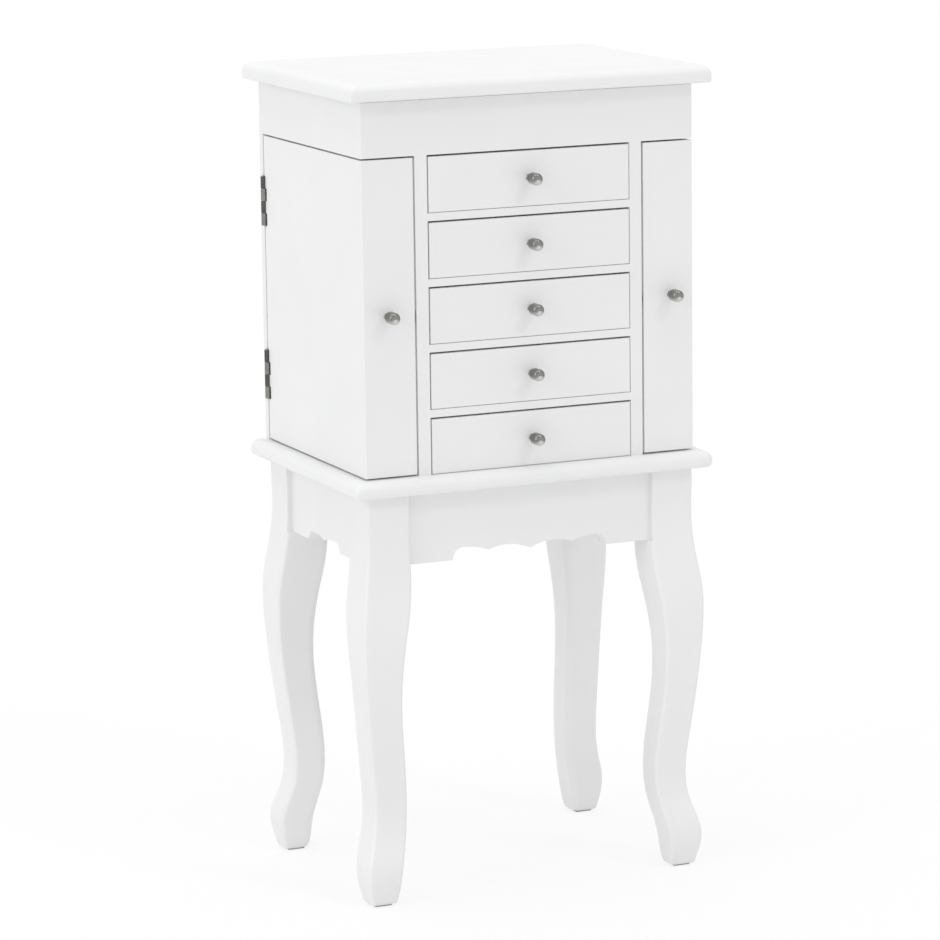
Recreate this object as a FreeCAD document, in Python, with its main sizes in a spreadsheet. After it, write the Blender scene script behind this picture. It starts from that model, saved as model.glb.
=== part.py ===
import FreeCAD, Part
import os
import Sketcher

# A free-standing jewelry cabinet on cabriole legs: a lift-up lid over a ring compartment,
# five drawers in the middle and a corner door on each side that swings out on rear hinges.
# Millimetres, +Z up, the front faces -Y, the origin is on the floor under the middle.

DRAWER_COUNT = 5
ROLL_COUNT = 7
HOOK_COUNT = 4
KNUCKLE_COUNT = 4
# Knuckles counted from one end of a hinge: which leaf each belongs to
CASE_SLOTS = (0, 2)
MOVING_SLOTS = (1, 3)

SIZES = {
    # Lid and waist board
    "board_width": 270,
    "board_depth": 200,
    "lid_thickness": 12,
    "lid_corner_radius": 2.5,
    "lid_top_round": 6,
    "lid_under_round": 1.5,
    "lid_gap": 1.2,
    "waist_thickness": 12,
    "waist_corner_radius": 3,
    "waist_top_round": 6.5,
    "waist_under_round": 4,
    # Upper case
    "box_side_overhang": 11,
    "box_front_overhang": 10,
    "box_back_overhang": 5,
    "frieze_height": 37.45,
    "frieze_thickness": 9,
    "case_corner_round": 1,
    "back_thickness": 6,
    "partition_thickness": 9,
    "floor_thickness": 6,
    "shelf_thickness": 5.4,
    # Drawers
    "drawer_opening_height": 39.45,
    "drawer_front_thickness": 9,
    "drawer_top_gap": 1.3,
    "drawer_left_gap": 1,
    "drawer_right_gap": 0.4,
    "drawer_front_round": 0.4,
    "drawer_side_drop": 9.15,
    "drawer_side_thickness": 6,
    "drawer_side_gap": 1.2,
    "drawer_bottom_thickness": 3,
    "drawer_bottom_lift": 2,
    "slide_clearance": 0.3,
    # Corner doors
    "door_bay_width": 39.25,
    "door_thickness": 9,
    "door_end_gap": 1.2,
    "door_side_gap": 1.5,
    # Legs, from the floor up: share of the height to the straight post, bulge past the post's
    # outer face and width of each section
    "leg_side_inset": 11.5,
    "leg_depth_inset": 10.5,
    "leg_height": 288.5,
    "leg_edge_round": 2.4,
    "leg_inner_round": 5.5,
    "foot_edge_round": 2.2,
    "post_width": 31,
    "post_trim": 1,
    "post_margin": 0.6,
    "collar_bulge": 1,
    "foot_pad_thickness": 1.2,
    "foot_pad_width": 12,
    "base_bulge": 1.4,
    "base_width": 19.4,
    "sole_share": 0.05,
    "sole_bulge": 3.4,
    "sole_width": 22.9,
    "toe_share": 0.104,
    "toe_bulge": 4.7,
    "toe_width": 25.7,
    "instep_share": 0.1825,
    "instep_bulge": 0.1,
    "instep_width": 25.3,
    "ankle_share": 0.27,
    "ankle_bulge": -3.4,
    "ankle_width": 24.5,
    "shin_share": 0.457,
    "shin_bulge": 0.2,
    "shin_width": 25.6,
    "calf_share": 0.664,
    "calf_bulge": 5,
    "calf_width": 28,
    "knee_share": 0.81,
    "knee_bulge": 6.3,
    "knee_width": 33.1,
    "shoulder_share": 0.913,
    "shoulder_bulge": 3.8,
    "shoulder_width": 34.6,
    # Aprons between the legs, with a scalloped lower edge at the front and sides: the reaches
    # are shares of half the apron's length
    "apron_height": 50,
    "apron_thickness": 12,
    "apron_recess": 4.2,
    "notch_rise": 8.5,
    "notch_radius": 8,
    "dip_rise": 4.9,
    "pendant_rise": 3.2,
    "front_notch_reach": 0.632,
    "front_crest_reach": 0.551,
    "front_dip_reach": 0.346,
    "outer_scallop_radius": 52,
    "inner_scallop_radius": 42,
    "side_notch_rise": 6.4,
    "side_pendant_rise": 4.2,
    "side_notch_reach": 0.49,
    "side_crest_reach": 0.42,
    "side_scallop_radius": 60,
    "corner_block_width": 14,
    "corner_block_height": 22,
    "corner_block_clearance": 0.4,
    # Knobs and their screws
    "knob_length": 14.8,
    "knob_neck_radius": 2.2,
    "knob_neck_end": 4.2,
    "knob_shoulder_radius": 2.4,
    "knob_head_start": 6.5,
    "knob_head_radius": 4.2,
    "knob_head_round": 2.4,
    "door_knob_inset": 17.5,
    "door_knob_lift": 2,
    "screw_radius": 1.5,
    "screw_head_radius": 3.4,
    "screw_head_height": 1.8,
    "screw_grip": 7,
    "screw_clearance": 0.05,
    "screw_hole_clearance": 0.3,
    # Hinges
    "pin_radius": 1,
    "pin_clearance": 0.05,
    "knuckle_gap": 0.4,
    "barrel_clearance": 0.3,
    "own_knuckle_clearance": 0.1,
    "door_barrel_radius": 2.3,
    "door_barrel_offset": 0.3,
    "knuckle_notch_room": 2.2,
    "door_leaf_thickness": 0.7,
    "door_leaf_gap": 0.3,
    "door_fixed_leaf_reach": 12.3,
    "door_hinge_length": 34.8,
    "door_hinge_top_inset": 28.9,
    "door_hinge_bottom_inset": 28.7,
    "lid_barrel_radius": 2,
    "lid_barrel_offset": 0.2,
    "lid_leaf_thickness": 0.5,
    "lid_leaf_edge": 5.5,
    "lid_hinge_length": 30,
    "lid_hinge_inset": 39,
    # Small fittings
    "magnet_radius": 3,
    "magnet_margin": 0.8,
    "stop_clearance": 0.3,
    "catch_plate_thickness": 1,
    "catch_plate_clearance": 0.05,
    "bumper_radius": 4,
    "bumper_inset": 14,
    "rest_clearance": 0.1,
    "hook_wire_radius": 0.8,
    "hook_reach": 9,
    "hook_bend_radius": 3,
    "hook_rise": 6,
    "hook_plate_radius": 3,
    "hook_plate_thickness": 1,
    "hook_drop": 24,
    # Lid mirror and the ring compartment
    "mirror_side_margin": 18.8,
    "mirror_depth_margin": 13.8,
    "mirror_thickness": 3,
    "mirror_clearance": 0.2,
    "mirror_frame_width": 8,
    "mirror_frame_thickness": 4,
    "lining_thickness": 1,
    "lining_clearance": 0.3,
    "divider_thickness": 5,
    "divider_headroom": 7.65,
    "roll_headroom": 10.65,
    "roll_crown_share": 0.38,
    "roll_gap": 0.6,
    "roll_end_clearance": 0.5,
}

doc = FreeCAD.newDocument("jewelry_cabinet")
sheet = doc.addObject("Spreadsheet::Sheet", "sizes")
for row, (alias, number) in enumerate(SIZES.items(), start=1):
    sheet.set(f"A{row}", alias)
    sheet.set(f"B{row}", str(number))
    sheet.setAlias(f"B{row}", alias)
doc.recompute()

# Planes that several pieces share, written as expressions of the sheet's sizes
BOARD_SIDE = "(sizes.board_width / 2)"
BOARD_BACK = "(sizes.board_depth / 2)"
BOX_SIDE = f"({BOARD_SIDE} - sizes.box_side_overhang)"
BOX_FRONT = f"(sizes.box_front_overhang - {BOARD_BACK})"
BOX_BACK = f"({BOARD_BACK} - sizes.box_back_overhang)"
BACK_INNER = f"({BOX_BACK} - sizes.back_thickness)"
WAIST_TOP = "(sizes.leg_height + sizes.waist_thickness)"
DRAWER_PITCH = "(sizes.drawer_opening_height + sizes.shelf_thickness)"
FRIEZE_BOTTOM = f"({WAIST_TOP} + {DRAWER_COUNT} * {DRAWER_PITCH} - sizes.shelf_thickness)"
FRIEZE_TOP = f"({FRIEZE_BOTTOM} + sizes.frieze_height)"
FRIEZE_INNER_SIDE = f"({BOX_SIDE} - sizes.frieze_thickness)"
FRIEZE_INNER_FRONT = f"({BOX_FRONT} + sizes.frieze_thickness)"
FLOOR_TOP = f"({FRIEZE_BOTTOM} + sizes.floor_thickness)"
LINING_TOP = f"({FLOOR_TOP} + sizes.lining_thickness)"
LID_BOTTOM = f"({FRIEZE_TOP} + sizes.lid_gap)"
MIRROR_BOTTOM = f"({LID_BOTTOM} - sizes.mirror_frame_thickness)"
DOOR_BOTTOM = f"({WAIST_TOP} + sizes.door_end_gap)"
DOOR_TOP = f"({FRIEZE_BOTTOM} - sizes.door_end_gap)"
DOOR_MIDDLE = f"(({DOOR_BOTTOM} + {DOOR_TOP}) / 2)"
PARTITION_OUTER = f"({BOX_SIDE} - sizes.door_bay_width)"
OPENING_SIDE = f"({PARTITION_OUTER} - sizes.partition_thickness)"
DOOR_EDGE = f"({PARTITION_OUTER} + sizes.door_side_gap)"
DOOR_INNER_SIDE = f"({BOX_SIDE} - sizes.door_thickness)"
DOOR_REAR = f"({BACK_INNER} - 2 * sizes.door_leaf_thickness - sizes.door_leaf_gap)"
DOOR_PIN_X = f"({BOX_SIDE} + sizes.door_barrel_offset)"
DOOR_PIN_Y = f"(({DOOR_REAR} + {BACK_INNER}) / 2)"
LID_PIN_X = f"({BOX_SIDE} - sizes.lid_hinge_inset - sizes.lid_hinge_length)"
LID_PIN_Y = f"({BOX_BACK} + sizes.lid_barrel_offset)"
LID_PIN_Z = f"({LID_BOTTOM} - sizes.barrel_clearance - sizes.lid_barrel_radius)"
POST_SIDE = f"({BOARD_SIDE} - sizes.leg_side_inset)"
POST_DEPTH = f"({BOARD_BACK} - sizes.leg_depth_inset)"
POST_INNER_SIDE = f"({POST_SIDE} - sizes.post_width)"
POST_INNER_DEPTH = f"({POST_DEPTH} - sizes.post_width)"
APRON_SIDE = f"({POST_SIDE} - sizes.apron_recess)"
APRON_DEPTH = f"({POST_DEPTH} - sizes.apron_recess)"
APRON_INNER_SIDE = f"({APRON_SIDE} - sizes.apron_thickness)"
APRON_INNER_DEPTH = f"({APRON_DEPTH} - sizes.apron_thickness)"
APRON_BOTTOM = "(sizes.leg_height - sizes.apron_height)"
POST_START = f"({APRON_BOTTOM} - sizes.post_margin)"
NOTCH_TOP = f"({APRON_BOTTOM} + sizes.notch_rise)"
DIP = f"({APRON_BOTTOM} + sizes.dip_rise)"
PENDANT = f"({APRON_BOTTOM} + sizes.pendant_rise)"

SIDEWAYS = FreeCAD.Vector(1, 0, 0)
LENGTHWAYS = FreeCAD.Vector(0, 1, 0)
TURNS = {
    "up": FreeCAD.Rotation(),
    "right": FreeCAD.Rotation(FreeCAD.Vector(0, 1, 0), 90),
    "left": FreeCAD.Rotation(FreeCAD.Vector(0, 1, 0), -90),
    "front": FreeCAD.Rotation(FreeCAD.Vector(1, 0, 0), 90),
}
# A hinge is drawn with its pin along Z: this turn lays the pin along X and its leaves along Y
LID_HINGE_TURN = FreeCAD.Rotation(FreeCAD.Vector(1, 1, 1), 120)

subparts = []


def value(expression):
    """The number that an expression gives with the present sizes."""
    return float(sheet.evalExpression(expression))


def bind(thing, expressions):
    """Tie properties of an object to expressions."""
    for name, expression in expressions.items():
        thing.setExpression(name, expression)


def place(thing, x="0", y="0", z="0", turn=FreeCAD.Rotation()):
    """Put an object at a point given by expressions."""
    thing.Placement = FreeCAD.Placement(FreeCAD.Vector(), turn)
    bind(thing, {"Placement.Base.x": x, "Placement.Base.y": y, "Placement.Base.z": z})
    return thing


def board(name, x_span, y_span, z_span):
    """A plain board between three pairs of planes."""
    box = doc.addObject("Part::Box", name)
    spans = zip(("Length", "Width", "Height"), (x_span, y_span, z_span))
    bind(box, {size: f"{high} - ({low})" for size, (low, high) in spans})
    return place(box, x_span[0], y_span[0], z_span[0])


def rod(name, radius, length, x="0", y="0", z="0", way="up"):
    """A round bar or disc that starts at a point and runs one way."""
    cylinder = doc.addObject("Part::Cylinder", name)
    bind(cylinder, {"Radius": radius, "Height": length})
    return place(cylinder, x, y, z, TURNS[way])


def fused(name, *pieces):
    fusion = doc.addObject("Part::MultiFuse", name)
    fusion.Shapes = list(pieces)
    return fusion


def cut(name, base, tool):
    difference = doc.addObject("Part::Cut", name)
    difference.Base = base
    difference.Tool = tool
    return difference


def common(name, base, tool):
    overlap = doc.addObject("Part::Common", name)
    overlap.Base = base
    overlap.Tool = tool
    return overlap


def mirrored(name, source, normal=SIDEWAYS):
    """A mirror image across the middle plane with the given normal."""
    image = doc.addObject("Part::Mirroring", name)
    image.Source = source
    image.Normal = normal
    return image


def group(name, pieces):
    """Separate solids that share one node."""
    compound = doc.addObject("Part::Compound", name)
    compound.Links = list(pieces)
    return compound


def subpart(piece, label):
    """Hand a finished piece in under its own name."""
    piece.Label = label
    subparts.append(piece)
    return piece


def new_body(name):
    return doc.addObject("PartDesign::Body", name)


def origin_plane(body, role):
    return next(item for item in body.Origin.OriginFeatures if item.Role == role)


def middle_of_arc(start, end, radius):
    """The point half way along an arc. A positive radius turns left, a negative one right."""
    chord = end - start
    left = FreeCAD.Vector(-chord.y, chord.x, 0).normalize()
    side = 1 if radius > 0 else -1
    height = (radius**2 - chord.Length**2 / 4) ** 0.5
    return (start + end) / 2 + left * side * (height - abs(radius))


def outline(body, name, role, corners, offset="0"):
    """Closed outline on an origin plane of a body, with every corner tied to the sheet.

    A corner is (x, y), or (x, y, radius, side) when an arc leads from it to the next corner;
    side is 1 for an arc that turns left and -1 for one that turns right.
    """
    sketch = body.newObject("Sketcher::SketchObject", name)
    sketch.AttachmentSupport = (origin_plane(body, role), [""])
    sketch.MapMode = "FlatFace"
    sketch.setExpression("AttachmentOffset.Base.z", offset)
    points = [FreeCAD.Vector(value(corner[0]), value(corner[1]), 0) for corner in corners]
    ends = []
    for start, end, corner in zip(points, points[1:] + points[:1], corners):
        if len(corner) == 2:
            edge = sketch.addGeometry(Part.LineSegment(start, end))
        else:
            radius = value(corner[2])
            edge = sketch.addGeometry(Part.Arc(start, middle_of_arc(start, end, radius * corner[3]), end))
            number = sketch.addConstraint(Sketcher.Constraint("Radius", edge, radius))
            sketch.setExpression(f"Constraints[{number}]", corner[2])
        first = 1 if sketch.getPoint(edge, 1).isEqual(start, 1e-6) else 2
        ends.append((edge, first, 3 - first))
    for (edge, first, last), (following, begin, _) in zip(ends, ends[1:] + ends[:1]):
        sketch.addConstraint(Sketcher.Constraint("Coincident", edge, last, following, begin))
    for (edge, first, _), corner in zip(ends, corners):
        for kind, expression in zip(("DistanceX", "DistanceY"), corner):
            number = sketch.addConstraint(Sketcher.Constraint(kind, edge, first, value(expression)))
            sketch.setExpression(f"Constraints[{number}]", expression)
    return sketch


def add_hole(sketch, x, y, radius):
    """A round hole inside an outline."""
    centre = FreeCAD.Vector(value(x), value(y), 0)
    circle = sketch.addGeometry(Part.Circle(centre, FreeCAD.Vector(0, 0, 1), value(radius)))
    for kind, position, expression in (("DistanceX", 3, x), ("DistanceY", 3, y)):
        number = sketch.addConstraint(Sketcher.Constraint(kind, circle, position, value(expression)))
        sketch.setExpression(f"Constraints[{number}]", expression)
    number = sketch.addConstraint(Sketcher.Constraint("Radius", circle, value(radius)))
    sketch.setExpression(f"Constraints[{number}]", radius)


def rectangle(x_span, y_span):
    """Corners of a rectangle, anticlockwise."""
    (left, right), (low, high) = x_span, y_span
    return [(left, low), (right, low), (right, high), (left, high)]


def rounded_rectangle(x_span, y_span, radius, last=None):
    """A rectangle with round corners; the one at the left of the high side may have a radius of its own."""
    (left, right), (low, high) = x_span, y_span
    last = last or radius
    return [
        (f"{left} + {radius}", low),
        (f"{right} - {radius}", low, radius, 1),
        (right, f"{low} + {radius}"),
        (right, f"{high} - {radius}", radius, 1),
        (f"{right} - {radius}", high),
        (f"{left} + {last}", high, last, 1),
        (left, f"{high} - {last}"),
        (left, f"{low} + {radius}", radius, 1),
    ]


def pad(body, sketch, length, backwards=False):
    feature = body.newObject("PartDesign::Pad", f"{sketch.Name}_pad")
    feature.Profile = sketch
    feature.setExpression("Length", length)
    feature.Reversed = backwards
    doc.recompute()
    return feature


def round_edges(body, feature, axis, level, radius):
    """Round every edge of a feature that lies in one plane across an axis, but not its holes."""
    names = []
    for number, edge in enumerate(feature.Shape.Edges, start=1):
        box = edge.BoundBox
        low = getattr(box, f"{axis}Min")
        high = getattr(box, f"{axis}Max")
        in_plane = abs(low - level) < 1e-3 and abs(high - level) < 1e-3
        if in_plane and not edge.isClosed():
            names.append(f"Edge{number}")
    fillet = body.newObject("PartDesign::Fillet", f"{body.Name}_round_{len(body.Group)}")
    fillet.Base = (feature, names)
    fillet.setExpression("Radius", radius)
    doc.recompute()
    return fillet


def leg_section(body, part, height, bulge, width):
    """A square section of the front right leg, eased at its edges and rounder at its inner one."""
    x_outer = f"({POST_SIDE} + {bulge})"
    y_outer = f"({POST_DEPTH} + {bulge})"
    x_span = (f"({x_outer} - {width})", x_outer)
    y_span = (f"(-{y_outer})", f"({width} - {y_outer})")
    corners = rounded_rectangle(x_span, y_span, "sizes.leg_edge_round", "sizes.leg_inner_round")
    return outline(body, f"leg_{part}", "XY_Plane", corners, height)


def leg_skin(body, name, sketches, ruled):
    """A skin through sections of a leg, smooth or in straight bands."""
    doc.recompute()
    loft = body.newObject("PartDesign::AdditiveLoft", name)
    loft.Profile = sketches[0]
    loft.Sections = sketches[1:]
    loft.Ruled = ruled
    doc.recompute()


def legs():
    """Square cabriole legs: a smooth skin through rounded square sections, and mirror images.

    Beside the aprons the skin is a little wide, and the two faces that the aprons meet are cut flat,
    which takes most of the round off the edges there.
    """
    body = new_body("leg")
    foot = "(sizes.foot_pad_thickness + sizes.foot_edge_round)"
    sections = [("base", foot, "sizes.base_bulge", "sizes.base_width")]
    for part in ("sole", "toe", "instep", "ankle", "shin", "calf", "knee", "shoulder"):
        height = f"sizes.{part}_share * {POST_START}"
        sections.append((part, height, f"sizes.{part}_bulge", f"sizes.{part}_width"))
    post_width = "(sizes.post_width + sizes.post_trim)"
    sections.append(("collar", POST_START, "sizes.collar_bulge", f"({post_width} + sizes.collar_bulge)"))
    sections.append(("post_middle", f"({POST_START} + sizes.leg_height) / 2", "0", post_width))
    sections.append(("post_top", "sizes.leg_height", "0", post_width))
    sketches = [leg_section(body, *section) for section in sections]
    leg_skin(body, "leg_skin", sketches, False)
    eased = "((1 - sqrt(0.5)) * sizes.foot_edge_round)"
    rim = []
    for part, rise, inset in (("rim", "0", "sizes.foot_edge_round"), ("rim_middle", eased, eased)):
        height = f"(sizes.foot_pad_thickness + {rise})"
        width = f"(sizes.base_width - 2 * {inset})"
        rim.append(leg_section(body, part, height, f"(sizes.base_bulge - {inset})", width))
    leg_skin(body, "leg_rim", rim + sketches[:1], True)
    joint_span = (APRON_BOTTOM, "sizes.leg_height")
    beside = board("leg_side_cut", (f"{POST_INNER_SIDE} - sizes.post_width", POST_INNER_SIDE),
                   (f"-{BOARD_BACK}", "0"), joint_span)
    behind = board("leg_rear_cut", ("0", BOARD_SIDE),
                   (f"-{POST_INNER_DEPTH}", f"sizes.post_width - {POST_INNER_DEPTH}"), joint_span)
    leg = cut("leg_trimmed", body, fused("leg_cuts", beside, behind))
    rear = mirrored("leg_rear", leg, LENGTHWAYS)
    subpart(leg, "leg_front_right")
    subpart(mirrored("leg_front_image", leg), "leg_front_left")
    subpart(rear, "leg_rear_right")
    subpart(mirrored("leg_rear_image", rear), "leg_rear_left")


def foot_pads():
    """A thin pale pad under the middle of each foot."""
    half = "sizes.foot_pad_width / 2"
    x_middle = f"({POST_SIDE} + sizes.base_bulge - sizes.base_width / 2)"
    y_middle = f"({POST_DEPTH} + sizes.base_bulge - sizes.base_width / 2)"
    x_span = (f"{x_middle} - {half}", f"{x_middle} + {half}")
    y_span = (f"{y_middle} - {half}", f"{y_middle} + {half}")
    first = board("foot_pad", x_span, y_span, ("0", "sizes.foot_pad_thickness"))
    second = mirrored("foot_pad_front", first, LENGTHWAYS)
    pads = [first, second, mirrored("foot_pad_left", first), mirrored("foot_pad_front_left", second)]
    subpart(group("foot_pad_set", pads), "foot_pads")


def front_apron():
    """Board between the front legs, scalloped below with a pendant in the middle."""
    half = POST_INNER_SIDE
    notch = f"(sizes.front_notch_reach * {half})"
    crest = f"(sizes.front_crest_reach * {half})"
    dip = f"(sizes.front_dip_reach * {half})"
    corners = [
        (f"-{half}", APRON_BOTTOM),
        (f"-{notch}", APRON_BOTTOM, "sizes.notch_radius", -1),
        (f"-{crest}", NOTCH_TOP, "sizes.outer_scallop_radius", -1),
        (f"-{dip}", DIP, "sizes.inner_scallop_radius", -1),
        ("0", PENDANT, "sizes.inner_scallop_radius", -1),
        (dip, DIP, "sizes.outer_scallop_radius", -1),
        (crest, NOTCH_TOP, "sizes.notch_radius", -1),
        (notch, APRON_BOTTOM),
        (half, APRON_BOTTOM),
        (half, "sizes.leg_height"),
        (f"-{half}", "sizes.leg_height"),
    ]
    body = new_body("apron_front")
    sketch = outline(body, "apron_front_edge", "XZ_Plane", corners, APRON_DEPTH)
    pad(body, sketch, "sizes.apron_thickness", True)
    subpart(body, "front_apron")


def side_aprons():
    """Shorter scalloped boards between a front leg and a rear leg."""
    half = POST_INNER_DEPTH
    notch = f"(sizes.side_notch_reach * {half})"
    crest = f"(sizes.side_crest_reach * {half})"
    notch_top = f"({APRON_BOTTOM} + sizes.side_notch_rise)"
    pendant = f"({APRON_BOTTOM} + sizes.side_pendant_rise)"
    corners = [
        (f"-{half}", APRON_BOTTOM),
        (f"-{notch}", APRON_BOTTOM, "sizes.notch_radius", -1),
        (f"-{crest}", notch_top, "sizes.side_scallop_radius", -1),
        ("0", pendant, "sizes.side_scallop_radius", -1),
        (crest, notch_top, "sizes.notch_radius", -1),
        (notch, APRON_BOTTOM),
        (half, APRON_BOTTOM),
        (half, "sizes.leg_height"),
        (f"-{half}", "sizes.leg_height"),
    ]
    body = new_body("apron_side")
    sketch = outline(body, "apron_side_edge", "YZ_Plane", corners, APRON_SIDE)
    pad(body, sketch, "sizes.apron_thickness", True)
    subpart(body, "right_apron")
    subpart(mirrored("apron_side_image", body), "left_apron")


def rear_apron():
    """Plain board between the rear legs."""
    x_span = (f"-{POST_INNER_SIDE}", POST_INNER_SIDE)
    z_span = (APRON_BOTTOM, "sizes.leg_height")
    subpart(board("apron_rear", x_span, (APRON_INNER_DEPTH, APRON_DEPTH), z_span), "rear_apron")


def corner_blocks():
    """Braces across the inner corners of the leg frame, glued to the aprons."""
    outer = f"({POST_INNER_SIDE} + {POST_INNER_DEPTH} - sizes.corner_block_clearance)"
    inner = f"({outer} - sizes.corner_block_width * sqrt(2))"
    corners = [
        (f"{inner} - {APRON_INNER_DEPTH}", APRON_INNER_DEPTH),
        (APRON_INNER_SIDE, f"{inner} - {APRON_INNER_SIDE}"),
        (APRON_INNER_SIDE, f"{outer} - {APRON_INNER_SIDE}"),
        (f"{outer} - {APRON_INNER_DEPTH}", APRON_INNER_DEPTH),
    ]
    body = new_body("corner_block")
    sketch = outline(body, "corner_block_plan", "XY_Plane", corners, "sizes.leg_height")
    pad(body, sketch, "sizes.corner_block_height", True)
    front = mirrored("corner_block_front", body, LENGTHWAYS)
    blocks = [body, front, mirrored("corner_block_left", body), mirrored("corner_block_front_left", front)]
    subpart(group("corner_block_set", blocks), "corner_blocks")


def edged_board(name, level):
    """A flat board with round plan corners and rounded upper and lower edges."""
    body = new_body(name)
    x_span = (f"(-{BOARD_SIDE})", BOARD_SIDE)
    y_span = (f"(-{BOARD_BACK})", BOARD_BACK)
    corners = rounded_rectangle(x_span, y_span, f"sizes.{name}_corner_radius")
    sketch = outline(body, f"{name}_plan", "XY_Plane", corners, level)
    feature = pad(body, sketch, f"sizes.{name}_thickness")
    top = value(f"{level} + sizes.{name}_thickness")
    feature = round_edges(body, feature, "Z", top, f"sizes.{name}_top_round")
    round_edges(body, feature, "Z", value(level), f"sizes.{name}_under_round")
    return body


def main_boards():
    """The lid, the waist board that the case stands on, and the plain boards of the case."""
    subpart(edged_board("waist", "sizes.leg_height"), "waist_board")
    subpart(edged_board("lid", LID_BOTTOM), "lid_board")
    plain_back = board("back", (f"-{BOX_SIDE}", BOX_SIDE), (BACK_INNER, BOX_BACK), (WAIST_TOP, FRIEZE_TOP))
    door_room = door_hinge_room("back_door_room", MOVING_SLOTS)
    lid_room = rod("back_lid_room", "sizes.lid_barrel_radius + sizes.barrel_clearance",
                   "sizes.lid_hinge_length + 2 * sizes.knuckle_gap",
                   f"{LID_PIN_X} - sizes.knuckle_gap", LID_PIN_Y, LID_PIN_Z, "right")
    room = fused("back_room", door_room, lid_room)
    both = fused("back_room_pair", room, mirrored("back_room_image", room))
    subpart(cut("back_notched", plain_back, both), "back_panel")
    depth = (BOX_FRONT, BACK_INNER)
    partition = board("partition", (OPENING_SIDE, PARTITION_OUTER), depth, (WAIST_TOP, FRIEZE_BOTTOM))
    subpart(partition, "right_partition")
    subpart(mirrored("partition_image", partition), "left_partition")
    shelves = []
    for number in range(1, DRAWER_COUNT):
        top = opening_bottom(number)
        z_span = (f"{top} - sizes.shelf_thickness", top)
        shelves.append(board(f"shelf_{number}", (f"-{OPENING_SIDE}", OPENING_SIDE), depth, z_span))
    subpart(group("shelf_set", shelves), "drawer_shelves")
    inside = (f"-{FRIEZE_INNER_SIDE}", FRIEZE_INNER_SIDE)
    floor = board("floor", inside, (FRIEZE_INNER_FRONT, BACK_INNER), (FRIEZE_BOTTOM, FLOOR_TOP))
    subpart(floor, "compartment_floor")


def mitre_blocks():
    """Two tall blocks that meet on the mitre line through the case's front right corner."""
    reach = "sizes.board_depth"
    line = f"({BOX_SIDE} + {BOX_FRONT})"
    front_corners = [
        (f"-({line} + {reach})", f"-{reach}"),
        (f"{line} + {reach}", f"-{reach}"),
        (line, "0"),
        (f"-{line}", "0"),
    ]
    side_corners = [
        (f"{line} + {reach}", f"-{reach}"),
        (f"{line} + {reach}", reach),
        (line, reach),
        (line, "0"),
    ]
    blocks = []
    for name, corners in (("front_block", front_corners), ("side_block", side_corners)):
        body = new_body(name)
        sketch = outline(body, f"{name}_plan", "XY_Plane", corners, WAIST_TOP)
        pad(body, sketch, f"{FRIEZE_TOP} - {WAIST_TOP}")
        blocks.append(body)
    return blocks


def frieze(front_block, side_block):
    """Three boards round the top compartment, mitred at the front corners."""
    soft = "sizes.case_corner_round"
    corners = [
        (f"-{BOX_SIDE}", f"{BOX_FRONT} + {soft}", soft, 1),
        (f"{soft} - {BOX_SIDE}", BOX_FRONT),
        (f"{BOX_SIDE} - {soft}", BOX_FRONT, soft, 1),
        (BOX_SIDE, f"{BOX_FRONT} + {soft}"),
        (BOX_SIDE, BACK_INNER),
        (FRIEZE_INNER_SIDE, BACK_INNER),
        (FRIEZE_INNER_SIDE, FRIEZE_INNER_FRONT),
        (f"-{FRIEZE_INNER_SIDE}", FRIEZE_INNER_FRONT),
        (f"-{FRIEZE_INNER_SIDE}", BACK_INNER),
        (f"-{BOX_SIDE}", BACK_INNER),
    ]
    body = new_body("frieze_ring")
    pad(body, outline(body, "frieze_plan", "XY_Plane", corners, FRIEZE_BOTTOM), "sizes.frieze_height")
    subpart(common("frieze_front_board", body, front_block), "frieze_front")
    side = subpart(common("frieze_side_board", body, side_block), "frieze_right")
    subpart(mirrored("frieze_side_image", side), "frieze_left")


def opening_bottom(number):
    """Height of the floor that a drawer slides on, counted from the top drawer."""
    return f"({WAIST_TOP} + {DRAWER_COUNT - number} * {DRAWER_PITCH})"


def knob(name, x, z, panel_thickness):
    """A turned metal knob on the front of a panel, with the screw that holds it from behind."""
    bore = "(sizes.screw_radius + sizes.screw_clearance)"
    soft = "sizes.knob_head_round"
    corners = [
        (bore, "0"),
        (bore, "-sizes.screw_grip"),
        ("0", "-sizes.screw_grip"),
        ("0", "-sizes.knob_length"),
        (f"sizes.knob_head_radius - {soft}", "-sizes.knob_length", soft, 1),
        ("sizes.knob_head_radius", f"{soft} - sizes.knob_length"),
        ("sizes.knob_head_radius", "-sizes.knob_head_start", "sizes.knob_shoulder_radius", 1),
        ("sizes.knob_neck_radius", "-sizes.knob_neck_end"),
        ("sizes.knob_neck_radius", "0"),
    ]
    body = new_body(f"{name}_turned")
    sketch = outline(body, f"{name}_profile", "XY_Plane", corners)
    turned = body.newObject("PartDesign::Revolution", f"{name}_revolution")
    turned.Profile = sketch
    turned.ReferenceAxis = (sketch, ["V_Axis"])
    place(body, x, BOX_FRONT, z)
    inner = f"({BOX_FRONT} + {panel_thickness})"
    head = rod(f"{name}_screw_head", "sizes.screw_head_radius", "sizes.screw_head_height", x,
               f"{inner} + sizes.screw_head_height", z, "front")
    shank = rod(f"{name}_shank", "sizes.screw_radius", f"{panel_thickness} + sizes.screw_grip", x,
                inner, z, "front")
    return group(f"{name}_set", [body, fused(f"{name}_screw", head, shank)])


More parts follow.
